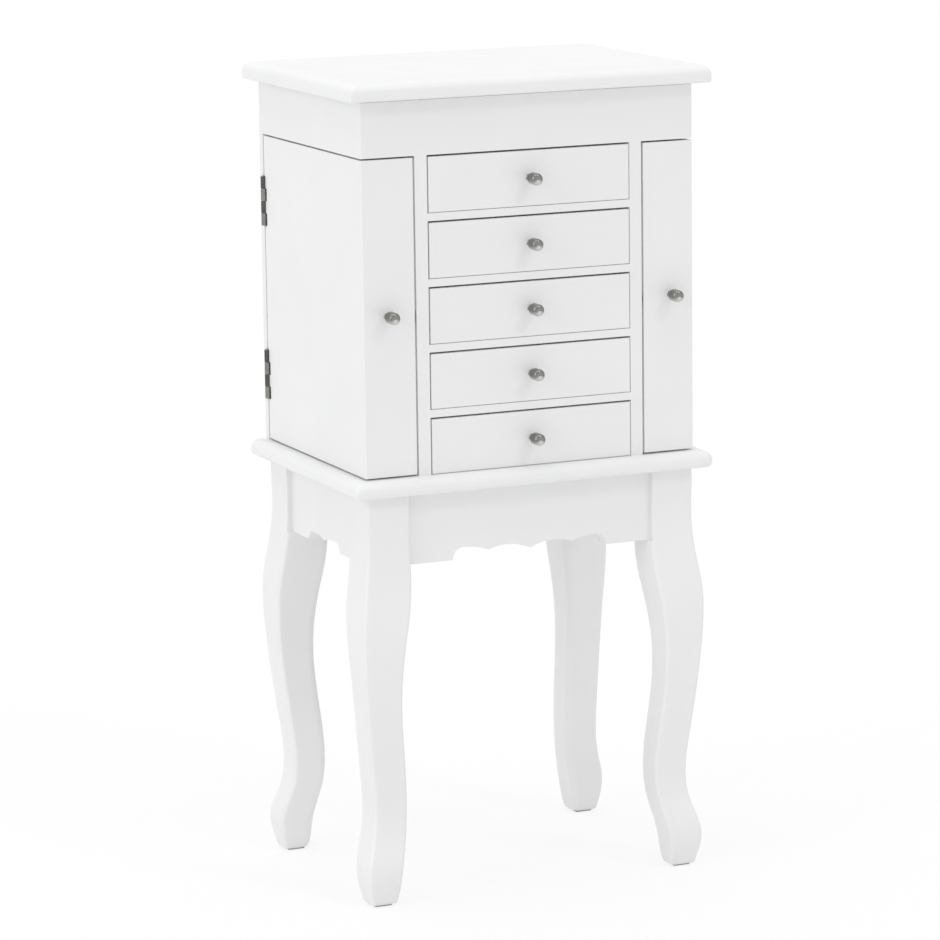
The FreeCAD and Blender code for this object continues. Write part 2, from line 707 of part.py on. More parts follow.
def drawer(number):
    """A drawer front, the box behind it and its knob."""
    name = f"drawer_{number}"
    bottom = opening_bottom(number)
    middle = f"({bottom} + sizes.drawer_opening_height / 2)"
    low = f"({bottom} + sizes.slide_clearance)"
    front = new_body(f"{name}_face")
    x_span = (f"sizes.drawer_left_gap - {OPENING_SIDE}", f"{OPENING_SIDE} - sizes.drawer_right_gap")
    z_span = (low, f"{bottom} + sizes.drawer_opening_height - sizes.drawer_top_gap")
    sketch = outline(front, f"{name}_face_outline", "XZ_Plane", rectangle(x_span, z_span), f"-{BOX_FRONT}")
    add_hole(sketch, "0", middle, "sizes.screw_radius + sizes.screw_hole_clearance")
    feature = pad(front, sketch, "sizes.drawer_front_thickness", True)
    round_edges(front, feature, "Y", value(BOX_FRONT), "sizes.drawer_front_round")
    subpart(front, f"{name}_front")
    high = f"({low} + sizes.drawer_opening_height - sizes.slide_clearance - sizes.drawer_side_drop)"
    side = f"({OPENING_SIDE} - sizes.drawer_side_gap)"
    inner_side = f"({side} - sizes.drawer_side_thickness)"
    start = f"({BOX_FRONT} + sizes.drawer_front_thickness)"
    end = f"({BACK_INNER} - sizes.slide_clearance)"
    inner_end = f"({end} - sizes.drawer_side_thickness)"
    panel_low = f"({low} + sizes.drawer_bottom_lift)"
    panel_high = f"({panel_low} + sizes.drawer_bottom_thickness)"
    across = (f"-{inner_side}", inner_side)
    boards = [
        board(f"{name}_right_side", (inner_side, side), (start, end), (low, high)),
        board(f"{name}_left_side", (f"-{side}", f"-{inner_side}"), (start, end), (low, high)),
        board(f"{name}_back", across, (inner_end, end), (low, high)),
        board(f"{name}_bottom", across, (start, inner_end), (panel_low, panel_high)),
    ]
    subpart(group(f"{name}_boards", boards), f"{name}_box")
    subpart(knob(f"{name}_pull", "0", middle, "sizes.drawer_front_thickness"), f"{name}_knob")


def hinge_leaf(name, length, barrel, plate_span, reach, slots):
    """One leaf of a butt hinge with its knuckles, the pin along Z from the origin.

    The plate runs from the pin towards -X between two Y planes. slots are the knuckles that
    belong to this leaf; the plate is cut back round the others.
    """
    pitch = f"(({length} + sizes.knuckle_gap) / {KNUCKLE_COUNT})"
    plate = board(f"{name}_plate", (f"-{reach}", "0"), plate_span, ("0", length))
    knuckles = []
    notches = []
    for slot in range(KNUCKLE_COUNT):
        start = f"({slot} * {pitch})"
        if slot in slots:
            tall = f"{pitch} - sizes.knuckle_gap"
            knuckles.append(rod(f"{name}_knuckle_{slot}", barrel, tall, z=start))
        else:
            wide = f"{barrel} + sizes.barrel_clearance"
            tall = f"{pitch} + sizes.knuckle_gap"
            notches.append(rod(f"{name}_notch_{slot}", wide, tall, z=f"{start} - sizes.knuckle_gap"))
    trimmed = cut(f"{name}_trimmed", plate, fused(f"{name}_notches", *notches))
    leaf = fused(f"{name}_leaf", trimmed, *knuckles)
    bore = rod(f"{name}_bore", "sizes.pin_radius + sizes.pin_clearance", length)
    return cut(f"{name}_bored", leaf, bore)


def door_hinge_levels():
    """Heights at which the upper and lower door hinges start."""
    return {
        "upper": f"({DOOR_TOP} - sizes.door_hinge_top_inset - sizes.door_hinge_length)",
        "lower": f"({DOOR_BOTTOM} + sizes.door_hinge_bottom_inset)",
    }


def door_hinge_room(name, slots):
    """Room for the right door's hinge barrels, wider at the knuckles of the other leaf."""
    barrel = "sizes.door_barrel_radius"
    pitch = f"((sizes.door_hinge_length + sizes.knuckle_gap) / {KNUCKLE_COUNT})"
    room = []
    for end, level in door_hinge_levels().items():
        close = f"{barrel} + sizes.own_knuckle_clearance"
        start = f"{level} - sizes.knuckle_gap"
        tall = "sizes.door_hinge_length + 2 * sizes.knuckle_gap"
        room.append(rod(f"{name}_{end}", close, tall, DOOR_PIN_X, DOOR_PIN_Y, start))
        for slot in slots:
            wide = f"{barrel} + sizes.knuckle_notch_room"
            start = f"{level} + {slot} * {pitch} - sizes.knuckle_gap"
            tall = f"{pitch} + sizes.knuckle_gap"
            room.append(rod(f"{name}_{end}_{slot}", wide, tall, DOOR_PIN_X, DOOR_PIN_Y, start))
    return fused(name, *room)


def door_hinges():
    """Two butt hinges on the rear edge of each door, their barrels half sunk in the case."""
    near = "(sizes.door_leaf_gap / 2)"
    far = f"({near} + sizes.door_leaf_thickness)"
    length = "sizes.door_hinge_length"
    barrel = "sizes.door_barrel_radius"
    door_reach = f"({DOOR_PIN_X} - {DOOR_INNER_SIDE})"
    fixed = []
    moving = []
    for end, level in door_hinge_levels().items():
        case_leaf = hinge_leaf(f"{end}_case_hinge", length, barrel, (near, far),
                               "sizes.door_fixed_leaf_reach", CASE_SLOTS)
        door_leaf = hinge_leaf(f"{end}_door_hinge", length, barrel, (f"-{far}", f"-{near}"),
                               door_reach, MOVING_SLOTS)
        fixed.append(place(case_leaf, DOOR_PIN_X, DOOR_PIN_Y, level))
        fixed.append(rod(f"{end}_door_pin", "sizes.pin_radius", length, DOOR_PIN_X, DOOR_PIN_Y, level))
        moving.append(place(door_leaf, DOOR_PIN_X, DOOR_PIN_Y, level))
    images = [mirrored(f"{piece.Name}_image", piece) for piece in fixed]
    subpart(group("case_hinge_set", fixed + images), "door_hinge_fixed_leaves")
    leaves = subpart(group("door_leaf_set", moving), "right_door_hinge_leaves")
    subpart(mirrored("door_leaf_image", leaves), "left_door_hinge_leaves")


def lid_hinges():
    """Two butt hinges between the back panel's top edge and the lid, the barrels half sunk."""
    barrel = "sizes.lid_barrel_radius"
    length = "sizes.lid_hinge_length"
    lid_plate = f"({LID_BOTTOM} - {LID_PIN_Z})"
    case_plate = f"({FRIEZE_TOP} - {LID_PIN_Z})"
    reach = "(sizes.lid_barrel_offset + sizes.lid_leaf_edge)"
    case_leaf = hinge_leaf("lid_case_hinge", length, barrel,
                           (case_plate, f"({case_plate} + sizes.lid_leaf_thickness)"), reach, CASE_SLOTS)
    lid_leaf = hinge_leaf("lid_hinge", length, barrel,
                          (f"({lid_plate} - sizes.lid_leaf_thickness)", lid_plate), reach, MOVING_SLOTS)
    fixed = [
        place(case_leaf, LID_PIN_X, LID_PIN_Y, LID_PIN_Z, LID_HINGE_TURN),
        rod("lid_pin", "sizes.pin_radius", length, LID_PIN_X, LID_PIN_Y, LID_PIN_Z, "right"),
    ]
    images = [mirrored(f"{piece.Name}_image", piece) for piece in fixed]
    subpart(group("lid_case_hinge_set", fixed + images), "lid_hinge_fixed_leaves")
    place(lid_leaf, LID_PIN_X, LID_PIN_Y, LID_PIN_Z, LID_HINGE_TURN)
    subpart(group("lid_leaf_set", [lid_leaf, mirrored("lid_leaf_image", lid_leaf)]), "lid_hinge_leaves")


def doors(front_block, side_block):
    """Corner doors: a side panel and a narrow front panel mitred together."""
    soft = "sizes.case_corner_round"
    inner_front = f"({BOX_FRONT} + sizes.door_thickness)"
    corners = [
        (DOOR_EDGE, BOX_FRONT),
        (f"{BOX_SIDE} - {soft}", BOX_FRONT, soft, 1),
        (BOX_SIDE, f"{BOX_FRONT} + {soft}"),
        (BOX_SIDE, DOOR_REAR),
        (DOOR_INNER_SIDE, DOOR_REAR),
        (DOOR_INNER_SIDE, inner_front),
        (DOOR_EDGE, inner_front),
    ]
    shell = new_body("door_shell")
    sketch = outline(shell, "door_plan", "XY_Plane", corners, DOOR_BOTTOM)
    pad(shell, sketch, f"{DOOR_TOP} - {DOOR_BOTTOM}")
    side_blank = common("door_side_blank", shell, side_block)
    room = door_hinge_room("door_hinge_cuts", CASE_SLOTS)
    side = subpart(cut("door_side", side_blank, room), "right_door_side_panel")
    subpart(mirrored("door_side_image", side), "left_door_side_panel")
    knob_x = f"({BOX_SIDE} - sizes.door_knob_inset)"
    knob_z = f"({DOOR_MIDDLE} + sizes.door_knob_lift)"
    catch_y = f"({inner_front} - sizes.magnet_margin - sizes.magnet_radius)"
    hole = rod("door_knob_hole", "sizes.screw_radius + sizes.screw_hole_clearance", "sizes.door_thickness",
               knob_x, inner_front, knob_z, "front")
    recess = rod("catch_recess", "sizes.magnet_radius + sizes.catch_plate_clearance",
                 "sizes.catch_plate_thickness", DOOR_EDGE, catch_y, DOOR_MIDDLE, "right")
    blank = common("door_front_blank", shell, front_block)
    holes = fused("door_front_holes", hole, recess)
    front = subpart(cut("door_front", blank, holes), "right_door_front_panel")
    subpart(mirrored("door_front_image", front), "left_door_front_panel")
    plate = rod("catch_plate", "sizes.magnet_radius", "sizes.catch_plate_thickness",
                DOOR_EDGE, catch_y, DOOR_MIDDLE, "right")
    subpart(plate, "right_door_catch_plate")
    subpart(mirrored("catch_plate_image", plate), "left_door_catch_plate")
    magnet = rod("magnet", "sizes.magnet_radius", "sizes.door_side_gap - sizes.stop_clearance",
                 PARTITION_OUTER, catch_y, DOOR_MIDDLE, "right")
    subpart(group("magnet_set", [magnet, mirrored("magnet_image", magnet)]), "door_magnets")
    pull = subpart(knob("door_pull", knob_x, knob_z, "sizes.door_thickness"), "right_door_knob")
    subpart(mirrored("door_pull_image", pull), "left_door_knob")
    hooks = [hook(number) for number in range(1, HOOK_COUNT + 1)]
    row = subpart(group("hook_row", hooks), "right_door_necklace_hooks")
    subpart(mirrored("hook_row_image", row), "left_door_necklace_hooks")


def hook(number):
    """A bent wire hook with a round foot, on the inner face of the door's side panel."""
    name = f"hook_{number}"
    wire = "sizes.hook_wire_radius"
    bend = "sizes.hook_bend_radius"
    y = f"({BOX_FRONT} + {number} * ({DOOR_REAR} - {BOX_FRONT}) / {HOOK_COUNT + 1})"
    z = f"({DOOR_TOP} - sizes.hook_drop)"
    x_bend = f"({DOOR_INNER_SIDE} - sizes.hook_reach)"
    foot = rod(f"{name}_foot", "sizes.hook_plate_radius", "sizes.hook_plate_thickness",
               DOOR_INNER_SIDE, y, z, "left")
    arm = rod(f"{name}_arm", wire, "sizes.hook_reach", DOOR_INNER_SIDE, y, z, "left")
    elbow = doc.addObject("Part::Torus", f"{name}_elbow")
    bind(elbow, {"Radius1": bend, "Radius2": wire})
    elbow.Angle3 = 90
    # The quarter ring is turned so that it starts along the arm and ends pointing up
    turn = FreeCAD.Rotation(FreeCAD.Vector(-1, 0, 0), FreeCAD.Vector(0, 0, -1), FreeCAD.Vector(0, -1, 0))
    place(elbow, x_bend, y, f"{z} + {bend}", turn)
    rise = rod(f"{name}_rise", wire, "sizes.hook_rise", f"{x_bend} - {bend}", y, f"{z} + {bend}")
    tip = doc.addObject("Part::Sphere", f"{name}_tip")
    bind(tip, {"Radius": wire})
    place(tip, f"{x_bend} - {bend}", y, f"{z} + {bend} + sizes.hook_rise")
    return fused(name, foot, arm, elbow, rise, tip)


def lid_fittings():
    """The mirror and its frame under the lid, and the bumpers that the lid comes down on."""
    frame_x = f"({FRIEZE_INNER_SIDE} - sizes.mirror_side_margin)"
    frame_front = f"({FRIEZE_INNER_FRONT} + sizes.mirror_depth_margin)"
    frame_back = f"({BACK_INNER} - sizes.mirror_depth_margin)"
    inner_x = f"({frame_x} - sizes.mirror_frame_width)"
    inner_front = f"({frame_front} + sizes.mirror_frame_width)"
    inner_back = f"({frame_back} - sizes.mirror_frame_width)"
    thick = (MIRROR_BOTTOM, LID_BOTTOM)
    right = board("frame_right", (inner_x, frame_x), (inner_front, inner_back), thick)
    strips = [
        board("frame_front", (f"-{frame_x}", frame_x), (frame_front, inner_front), thick),
        board("frame_rear", (f"-{frame_x}", frame_x), (inner_back, frame_back), thick),
        right,
        mirrored("frame_left", right),
    ]
    subpart(group("frame_set", strips), "mirror_frame")
    gap = "sizes.mirror_clearance"
    glass = board("mirror", (f"{gap} - {inner_x}", f"{inner_x} - {gap}"),
                  (f"{inner_front} + {gap}", f"{inner_back} - {gap}"),
                  (f"{LID_BOTTOM} - sizes.mirror_thickness", LID_BOTTOM))
    subpart(glass, "mirror_glass")
    bumper = rod("bumper", "sizes.bumper_radius", "sizes.lid_gap - sizes.rest_clearance",
                 f"{BOX_SIDE} - sizes.bumper_inset", f"{BOX_FRONT} + sizes.frieze_thickness / 2", FRIEZE_TOP)
    subpart(group("bumper_set", [bumper, mirrored("bumper_image", bumper)]), "lid_bumpers")


def ring_compartment():
    """Felt on the floor, a divider, and soft rolls that hold rings between them."""
    gap = "sizes.lining_clearance"
    x = f"({FRIEZE_INNER_SIDE} - {gap})"
    front = f"({FRIEZE_INNER_FRONT} + {gap})"
    back = f"({BACK_INNER} - {gap})"
    subpart(board("lining", (f"-{x}", x), (front, back), (FLOOR_TOP, LINING_TOP)), "compartment_lining")
    half = "(sizes.divider_thickness / 2)"
    divider = board("divider", (f"-{half}", half), (FRIEZE_INNER_FRONT, BACK_INNER),
                    (LINING_TOP, f"{MIRROR_BOTTOM} - sizes.divider_headroom"))
    subpart(divider, "compartment_divider")
    pitch = f"(({back} - {front}) / {ROLL_COUNT})"
    wide = f"({pitch} - sizes.roll_gap)"
    rise = f"(sizes.roll_crown_share * {wide})"
    crown = f"(({wide} ^ 2 / 4 + {rise} ^ 2) / (2 * {rise}))"
    shoulder = f"({MIRROR_BOTTOM} - sizes.roll_headroom - {LINING_TOP} - {rise})"
    corners = [
        (f"-{wide} / 2", "0"),
        (f"{wide} / 2", "0"),
        (f"{wide} / 2", shoulder, crown, 1),
        (f"-{wide} / 2", shoulder),
    ]
    start = f"({half} + sizes.roll_end_clearance)"
    rolls = []
    for number in range(ROLL_COUNT):
        body = new_body(f"roll_{number}")
        sketch = outline(body, f"roll_{number}_end", "YZ_Plane", corners)
        pad(body, sketch, f"{FRIEZE_INNER_SIDE} - sizes.roll_end_clearance - {start}")
        rolls.append(place(body, start, f"{front} + ({number} + 0.5) * {pitch}", LINING_TOP))
    subpart(group("roll_set", rolls), "ring_rolls")


def check_and_write():
    """Stop on any object that failed, then write each sub-part to its own file."""
    doc.recompute()
    for item in doc.Objects:
        if "Invalid" in item.State or "Error" in item.State:
            raise RuntimeError(f"{item.Name} failed: {item.State}")
    for piece in subparts:
        if piece.Shape.isNull() or not piece.Shape.isValid() or not piece.Shape.Solids:
            raise RuntimeError(f"{piece.Label} has no sound shape")
    os.makedirs("parts", exist_ok=True)
    for piece in subparts:
        piece.Shape.exportStep(f"parts/{piece.Label}.step")
        print(f"{piece.Label}: {len(piece.Shape.Solids)} solids, {piece.Shape.Volume / 1000:.2f} cm3")
    print(f"{len(subparts)} sub-parts")


legs()
foot_pads()
front_apron()
side_aprons()
rear_apron()
corner_blocks()
main_boards()
front_block, side_block = mitre_blocks()
frieze(front_block, side_block)
doors(front_block, side_block)
door_hinges()
lid_hinges()
lid_fittings()
ring_compartment()
for drawer_number in range(1, DRAWER_COUNT + 1):
    drawer(drawer_number)
check_and_write()
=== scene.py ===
# %% [markdown]
# # A small jewelry cabinet in white paint
# The cabinet's boards, legs, hinges and hooks come from the CAD model, already in place and in metres.
# This lesson loads them as a fixed frame, looks at them through the photograph's camera, gives every
# board its finish, and models by hand what a saw and a drill don't make: turned knobs, screws, felt, ring
# rolls and glass.

# %% Load the frame
import math

import bmesh
import bpy
from mathutils import Matrix, Vector


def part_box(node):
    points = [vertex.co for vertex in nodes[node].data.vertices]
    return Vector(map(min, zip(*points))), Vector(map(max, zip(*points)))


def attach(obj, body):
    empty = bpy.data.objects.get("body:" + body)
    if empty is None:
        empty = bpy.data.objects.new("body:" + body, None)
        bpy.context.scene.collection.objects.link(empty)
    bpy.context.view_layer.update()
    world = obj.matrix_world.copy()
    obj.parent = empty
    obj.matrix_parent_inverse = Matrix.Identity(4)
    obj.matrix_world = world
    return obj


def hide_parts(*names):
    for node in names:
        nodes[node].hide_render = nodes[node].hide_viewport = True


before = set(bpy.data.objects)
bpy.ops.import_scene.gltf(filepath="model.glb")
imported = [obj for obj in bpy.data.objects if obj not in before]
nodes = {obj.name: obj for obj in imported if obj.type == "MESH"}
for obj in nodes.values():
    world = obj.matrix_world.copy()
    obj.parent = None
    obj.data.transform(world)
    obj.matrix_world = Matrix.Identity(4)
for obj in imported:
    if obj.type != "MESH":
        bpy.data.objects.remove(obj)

MM = 0.001
scene = bpy.context.scene
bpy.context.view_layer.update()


# %% [markdown]
# ## The camera
# The photograph was taken from the cabinet's front left and a little above, with a long lens, so that
# upright edges stay almost upright. The camera's place and turn were solved from the corners of the
# boards. They could be found by eye too, by dragging the view, but solved numbers put every seam where
# the photograph has it.

# %% Stand the camera where the photographer stood
SENSOR_WIDTH = 36.0
FOCAL_LENGTH = 167.296
CAMERA_PLACE = (-1.234647, -2.774847, 0.859677)
CAMERA_RIGHT = (0.913421, -0.406806, -0.013094)
CAMERA_UP = (0.087773, 0.165462, 0.982302)
CAMERA_BACK = (-0.397440, -0.898405, 0.186843)

camera_data = bpy.data.cameras.new("photo_camera")
camera_data.sensor_width = SENSOR_WIDTH
camera_data.lens = FOCAL_LENGTH
camera = bpy.data.objects.new("photo_camera", camera_data)
scene.collection.objects.link(camera)
camera_turn = Matrix((CAMERA_RIGHT, CAMERA_UP, CAMERA_BACK)).transposed().to_4x4()
camera.matrix_world = Matrix.Translation(CAMERA_PLACE) @ camera_turn
scene.camera = camera
print("camera stands", round(camera.location.length, 2), "m from the cabinet's foot")

# %% [markdown]
# ## Small helpers for modelling
# Blender's operators work on whatever is selected. After loading, every board is selected, so each new
# piece starts by clearing the selection. Faces and edges are then picked by where they are or which way
# they look, as the eye would pick them.

# %% Pick, place and copy
SMOOTH_ANGLE = math.radians(35)


def clear_selection():
    """Leave nothing selected, so that the next operator touches only the new piece."""
    if bpy.context.object and bpy.context.object.mode != "OBJECT":
        bpy.ops.object.mode_set(mode="OBJECT")
    bpy.ops.object.select_all(action="DESELECT")


def add_block(centre, size):
    """A new block with its place and size applied, ready to be shaped."""
    clear_selection()
    bpy.ops.mesh.primitive_cube_add(size=1, location=centre)
    block = bpy.context.object
    block.scale = size
    bpy.ops.object.transform_apply(location=True, rotation=True, scale=True)
    return block


def pick(kind, wanted):
    """In edit mode, select just the faces, edges or vertices that a test accepts."""
    bpy.ops.mesh.select_mode(type=kind)
    bpy.ops.mesh.select_all(action="DESELECT")
    mesh = bmesh.from_edit_mesh(bpy.context.edit_object.data)
    items = {"FACE": mesh.faces, "EDGE": mesh.edges, "VERT": mesh.verts}[kind]
    for item in items:
        if wanted(item):
            item.select_set(True)
    bmesh.update_edit_mesh(bpy.context.edit_object.data)


def middle(edge):
    """The middle of an edge."""
    return (edge.verts[0].co + edge.verts[1].co) / 2


def copy_to(pattern, name, shift):
    """A copy of a modelled piece with a mesh of its own, moved by a shift."""
    copy = pattern.copy()
    copy.data = pattern.data.copy()
    copy.name = name
    copy.data.name = name
    scene.collection.objects.link(copy)
    copy.data.transform(Matrix.Translation(shift))
    return copy


def join_as(pieces, name):
    """Several small pieces made one object."""
    clear_selection()
    for piece in pieces:
        piece.select_set(True)
    bpy.context.view_layer.objects.active = pieces[0]
    bpy.ops.object.join()
    pieces[0].name = name
    pieces[0].data.name = name
    return pieces[0]


def fit(piece, body, finish, stands_for=()):
    """Give a finished piece its finish, the body it moves with, and the CAD nodes that it stands for."""
    piece.data.materials.clear()
    piece.data.materials.append(finish)
    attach(piece, body)
    if stands_for:
        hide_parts(*stands_for)


print("helpers ready")

# %% [markdown]
# ## Node helpers
# A finish is a small network of nodes. One helper adds a node with its settings, values and links in one
# line, a few more name the nodes that come back most often, and two open and close a node group with
# named sockets.

# %% Add nodes
NOISE_LOW, NOISE_HIGH = 0.3, 0.7


def add(tree, kind, inputs=None, **settings):
    """Add a node and set its properties. An input gets a value, or a link where a socket is given."""
    node = tree.nodes.new(kind)
    for key, value in settings.items():
        setattr(node, key, value)
    for key, value in (inputs or {}).items():
        if isinstance(value, bpy.types.NodeSocket):
            tree.links.new(value, node.inputs[key])
        else:
            node.inputs[key].default_value = value
    return node


def object_place(tree):
    """Object coordinates, in metres."""
    return add(tree, "ShaderNodeTexCoord").outputs["Object"]


def noise(tree, place, **values):
    """Noise at a place: its scale is in waves to a metre, and detail adds finer layers."""
    named = {name.capitalize(): value for name, value in values.items()}
    return add(tree, "ShaderNodeTexNoise", {"Vector": place, **named}).outputs[0]


def remap(tree, value, start, end, low, high):
    """A value that runs from start to end, stretched to run from low to high."""
    limits = {"From Min": start, "From Max": end, "To Min": low, "To Max": high}
    return add(tree, "ShaderNodeMapRange", {"Value": value, **limits}).outputs[0]


def mixed(tree, share, first, second):
    """Two colours mixed: a share of 0 is the first and 1 is the second."""
    return add(tree, "ShaderNodeMix", {0: share, 6: first, 7: second}, data_type="RGBA").outputs[2]


def maths(tree, operation, *values, clamp=False):
    """One step of arithmetic."""
    inputs = dict(enumerate(values))
    return add(tree, "ShaderNodeMath", inputs, operation=operation, use_clamp=clamp).outputs[0]


def bumps(tree, height, strength, distance):
    """A Bump node for a height."""
    return add(tree, "ShaderNodeBump", {"Height": height, "Strength": strength, "Distance": distance})


print("node helpers ready")

# %% Open and close groups and finishes
COLOUR, NUMBER, VECTOR = "NodeSocketColor", "NodeSocketFloat", "NodeSocketVector"


def start_group(name, inputs, outputs):
    """A shader node group with named sockets, what it takes in, and its end."""
    group = bpy.data.node_groups.new(name, "ShaderNodeTree")
    for label, kind, value in inputs:
        socket = group.interface.new_socket(name=label, in_out="INPUT", socket_type=kind)
        socket.default_value = value
    for label, kind in outputs:
        group.interface.new_socket(name=label, in_out="OUTPUT", socket_type=kind)
    return group, group.nodes.new("NodeGroupInput").outputs, group.nodes.new("NodeGroupOutput")


def close_group(group, end, outputs):
    """Link what a group puts out."""
    for label, socket in outputs.items():
        group.links.new(socket, end.inputs[label])
    print(group.name, "nodes:", len(group.nodes))


def use_group(tree, group, inputs):
    """Place a group in a material with its own values."""
    return add(tree, "ShaderNodeGroup", inputs, node_tree=group)


def start_finish(name):
    """A new material with its Principled shader, and the tree that holds it."""
    material = bpy.data.materials.new(name)
    material.use_nodes = True
    return material, material.node_tree, material.node_tree.nodes["Principled BSDF"]


def cover(tree, shader, colour, roughness, bump=None):
    """Link a finish's colour, roughness and bump to its shader."""
    tree.links.new(colour, shader.inputs["Base Color"])
    tree.links.new(roughness, shader.inputs["Roughness"])
    if bump:
        tree.links.new(bump.outputs[0], shader.inputs["Normal"])


print("group and finish helpers ready")

# %% [markdown]
# ## What paint does on board
# Sprayed satin paint isn't one flat white. It lies in a fine orange-peel skin, drifts a little in tone
# where the coat is thicker, is glossier in some patches than in others, and rounds every sawn edge. A
# photograph of paint could be wrapped round the boards, but noise on Object coordinates needs no
# unwrapping and runs on unbroken. The skin is one group and the soft edge another, because the outside
# and the inside both use them.

# %% Group: paint skin
DRIFT_SHARE = 0.55
FLOW_WEIGHT = 1.6

paint_skin, given, end = start_group(
    "paint_skin",
    [("Full Coat", COLOUR, (0.86, 0.86, 0.86, 1)), ("Thin Coat", COLOUR, (0.82, 0.82, 0.82, 1)),
     ("Glossier", NUMBER, 0.32), ("Duller", NUMBER, 0.45), ("Edge", NUMBER, 0.0)],
    [("Colour", COLOUR), ("Roughness", NUMBER), ("Height", NUMBER)])
place = object_place(paint_skin)
drift = noise(paint_skin, place, scale=16.0, detail=3.0)
patches = noise(paint_skin, place, scale=55.0, detail=2.0)
peel = noise(paint_skin, place, scale=700.0, detail=2.0)
flow = noise(paint_skin, place, scale=150.0, detail=1.0)
drifted = remap(paint_skin, drift, 0.35, 0.65, 0.0, DRIFT_SHARE)
worn = maths(paint_skin, "MULTIPLY", given["Edge"], patches)
thin = maths(paint_skin, "ADD", drifted, worn, clamp=True)
tone = mixed(paint_skin, thin, given["Full Coat"], given["Thin Coat"])
gloss = remap(paint_skin, patches, NOISE_LOW, NOISE_HIGH, given["Glossier"], given["Duller"])
skin = maths(paint_skin, "MULTIPLY_ADD", flow, FLOW_WEIGHT, peel)
close_group(paint_skin, end, {"Colour": tone, "Roughness": gloss, "Height": skin})

# %% Group: soft edge
soft_edge, given, end = start_group(
    "soft_edge", [("Radius", NUMBER, 0.0008)], [("Normal", VECTOR), ("Edge", NUMBER)])
eased = add(soft_edge, "ShaderNodeBevel", {"Radius": given["Radius"]}, samples=6).outputs[0]
sharp = add(soft_edge, "ShaderNodeNewGeometry").outputs["Normal"]
likeness = add(soft_edge, "ShaderNodeVectorMath", {0: eased, 1: sharp}, operation="DOT_PRODUCT")
edge = remap(soft_edge, likeness.outputs["Value"], 1.0, 0.7, 0.0, 1.0)
close_group(soft_edge, end, {"Normal": eased, "Edge": edge})

# %% [markdown]
# ## Three coats of white
# The outside has the full coat: a cool satin white. Boards that are glued flush were filled and sprayed
# together, so no edge shows between them, and the legs are already round: both get the coat without the
# soft edge. The inside got one thin, duller coat. One function sets the same network with each coat's
# values.

# %% Make the coats
def white_coat(name, full, thin, glossier, duller, skin_depth, radius=0.0):
    """A coat of paint: its skin, its tones and, where a radius is given, its soft edges."""
    material, tree, shader = start_finish(name)
    coat = use_group(tree, paint_skin, {"Full Coat": (*full, 1), "Thin Coat": (*thin, 1),
                                        "Glossier": glossier, "Duller": duller})
    bump = bumps(tree, coat.outputs["Height"], strength=0.25, distance=skin_depth)
    if radius:
        rounding = use_group(tree, soft_edge, {"Radius": radius})
        tree.links.new(rounding.outputs["Edge"], coat.inputs["Edge"])
        tree.links.new(rounding.outputs["Normal"], bump.inputs["Normal"])
    cover(tree, shader, coat.outputs["Colour"], coat.outputs["Roughness"], bump)
    shader.inputs["Specular IOR Level"].default_value = 0.45
    return material


FULL_COAT, THIN_COAT = (0.848, 0.849, 0.852), (0.822, 0.824, 0.828)
INSIDE_FULL, INSIDE_THIN = (0.812, 0.810, 0.800), (0.760, 0.755, 0.738)
outside_white = white_coat("outside_white", FULL_COAT, THIN_COAT, glossier=0.34, duller=0.46,
                           skin_depth=0.00006, radius=0.0009)
flush_white = white_coat("flush_white", FULL_COAT, THIN_COAT, glossier=0.36, duller=0.48,
                         skin_depth=0.00006)
inside_white = white_coat("inside_white", INSIDE_FULL, INSIDE_THIN, glossier=0.52, duller=0.66,
                          skin_depth=0.00009, radius=0.0006)
print("coats:", outside_white.name, flush_white.name, inside_white.name)

# %% [markdown]
# ## Plated metal
# Knobs, hinges and hooks are nickel plated, the doors' own hinge leaves carry a darker copy of the fixed
# ones' plating as painted shade, and the magnets and their plates are dull brushed steel. A metal's colour
# is mostly what it mirrors, so the group adds what the eye reads as metal: fine marks in the roughness,
# cloudiness in the plating, and painted light and shade in its tone. The marks follow a Place input. On a
# turned knob that is an attribute that runs along the turning, and on flat fittings it is the Object
# coordinates. The group's input for painted light is 0 where the plating is painted dark and 1 where it is
# painted bright: on a knob a ramp along the turning paints shade on the body and a highlight on the dome's
# rim, and the underside is painted brightest, as a painted reflection of the floor.

# %% Group: plating
plating, given, end = start_group(
    "plating",
    [("Place", VECTOR, (0, 0, 0)), ("Bright", COLOUR, (0.6, 0.58, 0.55, 1)),
     ("Dark", COLOUR, (0.45, 0.43, 0.4, 1)), ("Polished", NUMBER, 0.2), ("Brushed", NUMBER, 0.4),
     ("Painted Light", NUMBER, 0.5)],
    [("Colour", COLOUR), ("Roughness", NUMBER), ("Height", NUMBER)])
cloud = noise(plating, given["Place"], scale=260.0, detail=3.0)
marks = noise(plating, given["Place"], scale=2600.0, detail=4.0, roughness=0.65)
# Painted light: below 0.5 the plating is painted darker as shade, above 0.5 brighter as a highlight or
# reflection; at 0.5, which all but the knobs keep, only the cloud sets the tone.
painted_darkening = maths(plating, "SUBTRACT", 0.5, given["Painted Light"])
cloud_and_painted_shade = maths(plating, "ADD", cloud, painted_darkening, clamp=True)
shade = mixed(plating, cloud_and_painted_shade, given["Bright"], given["Dark"])
polish = remap(plating, marks, NOISE_LOW, NOISE_HIGH, given["Polished"], given["Brushed"])
close_group(plating, end, {"Colour": shade, "Roughness": polish, "Height": marks})

# %% Paint light and shade on a knob
KNOB_SEAT = 14.8
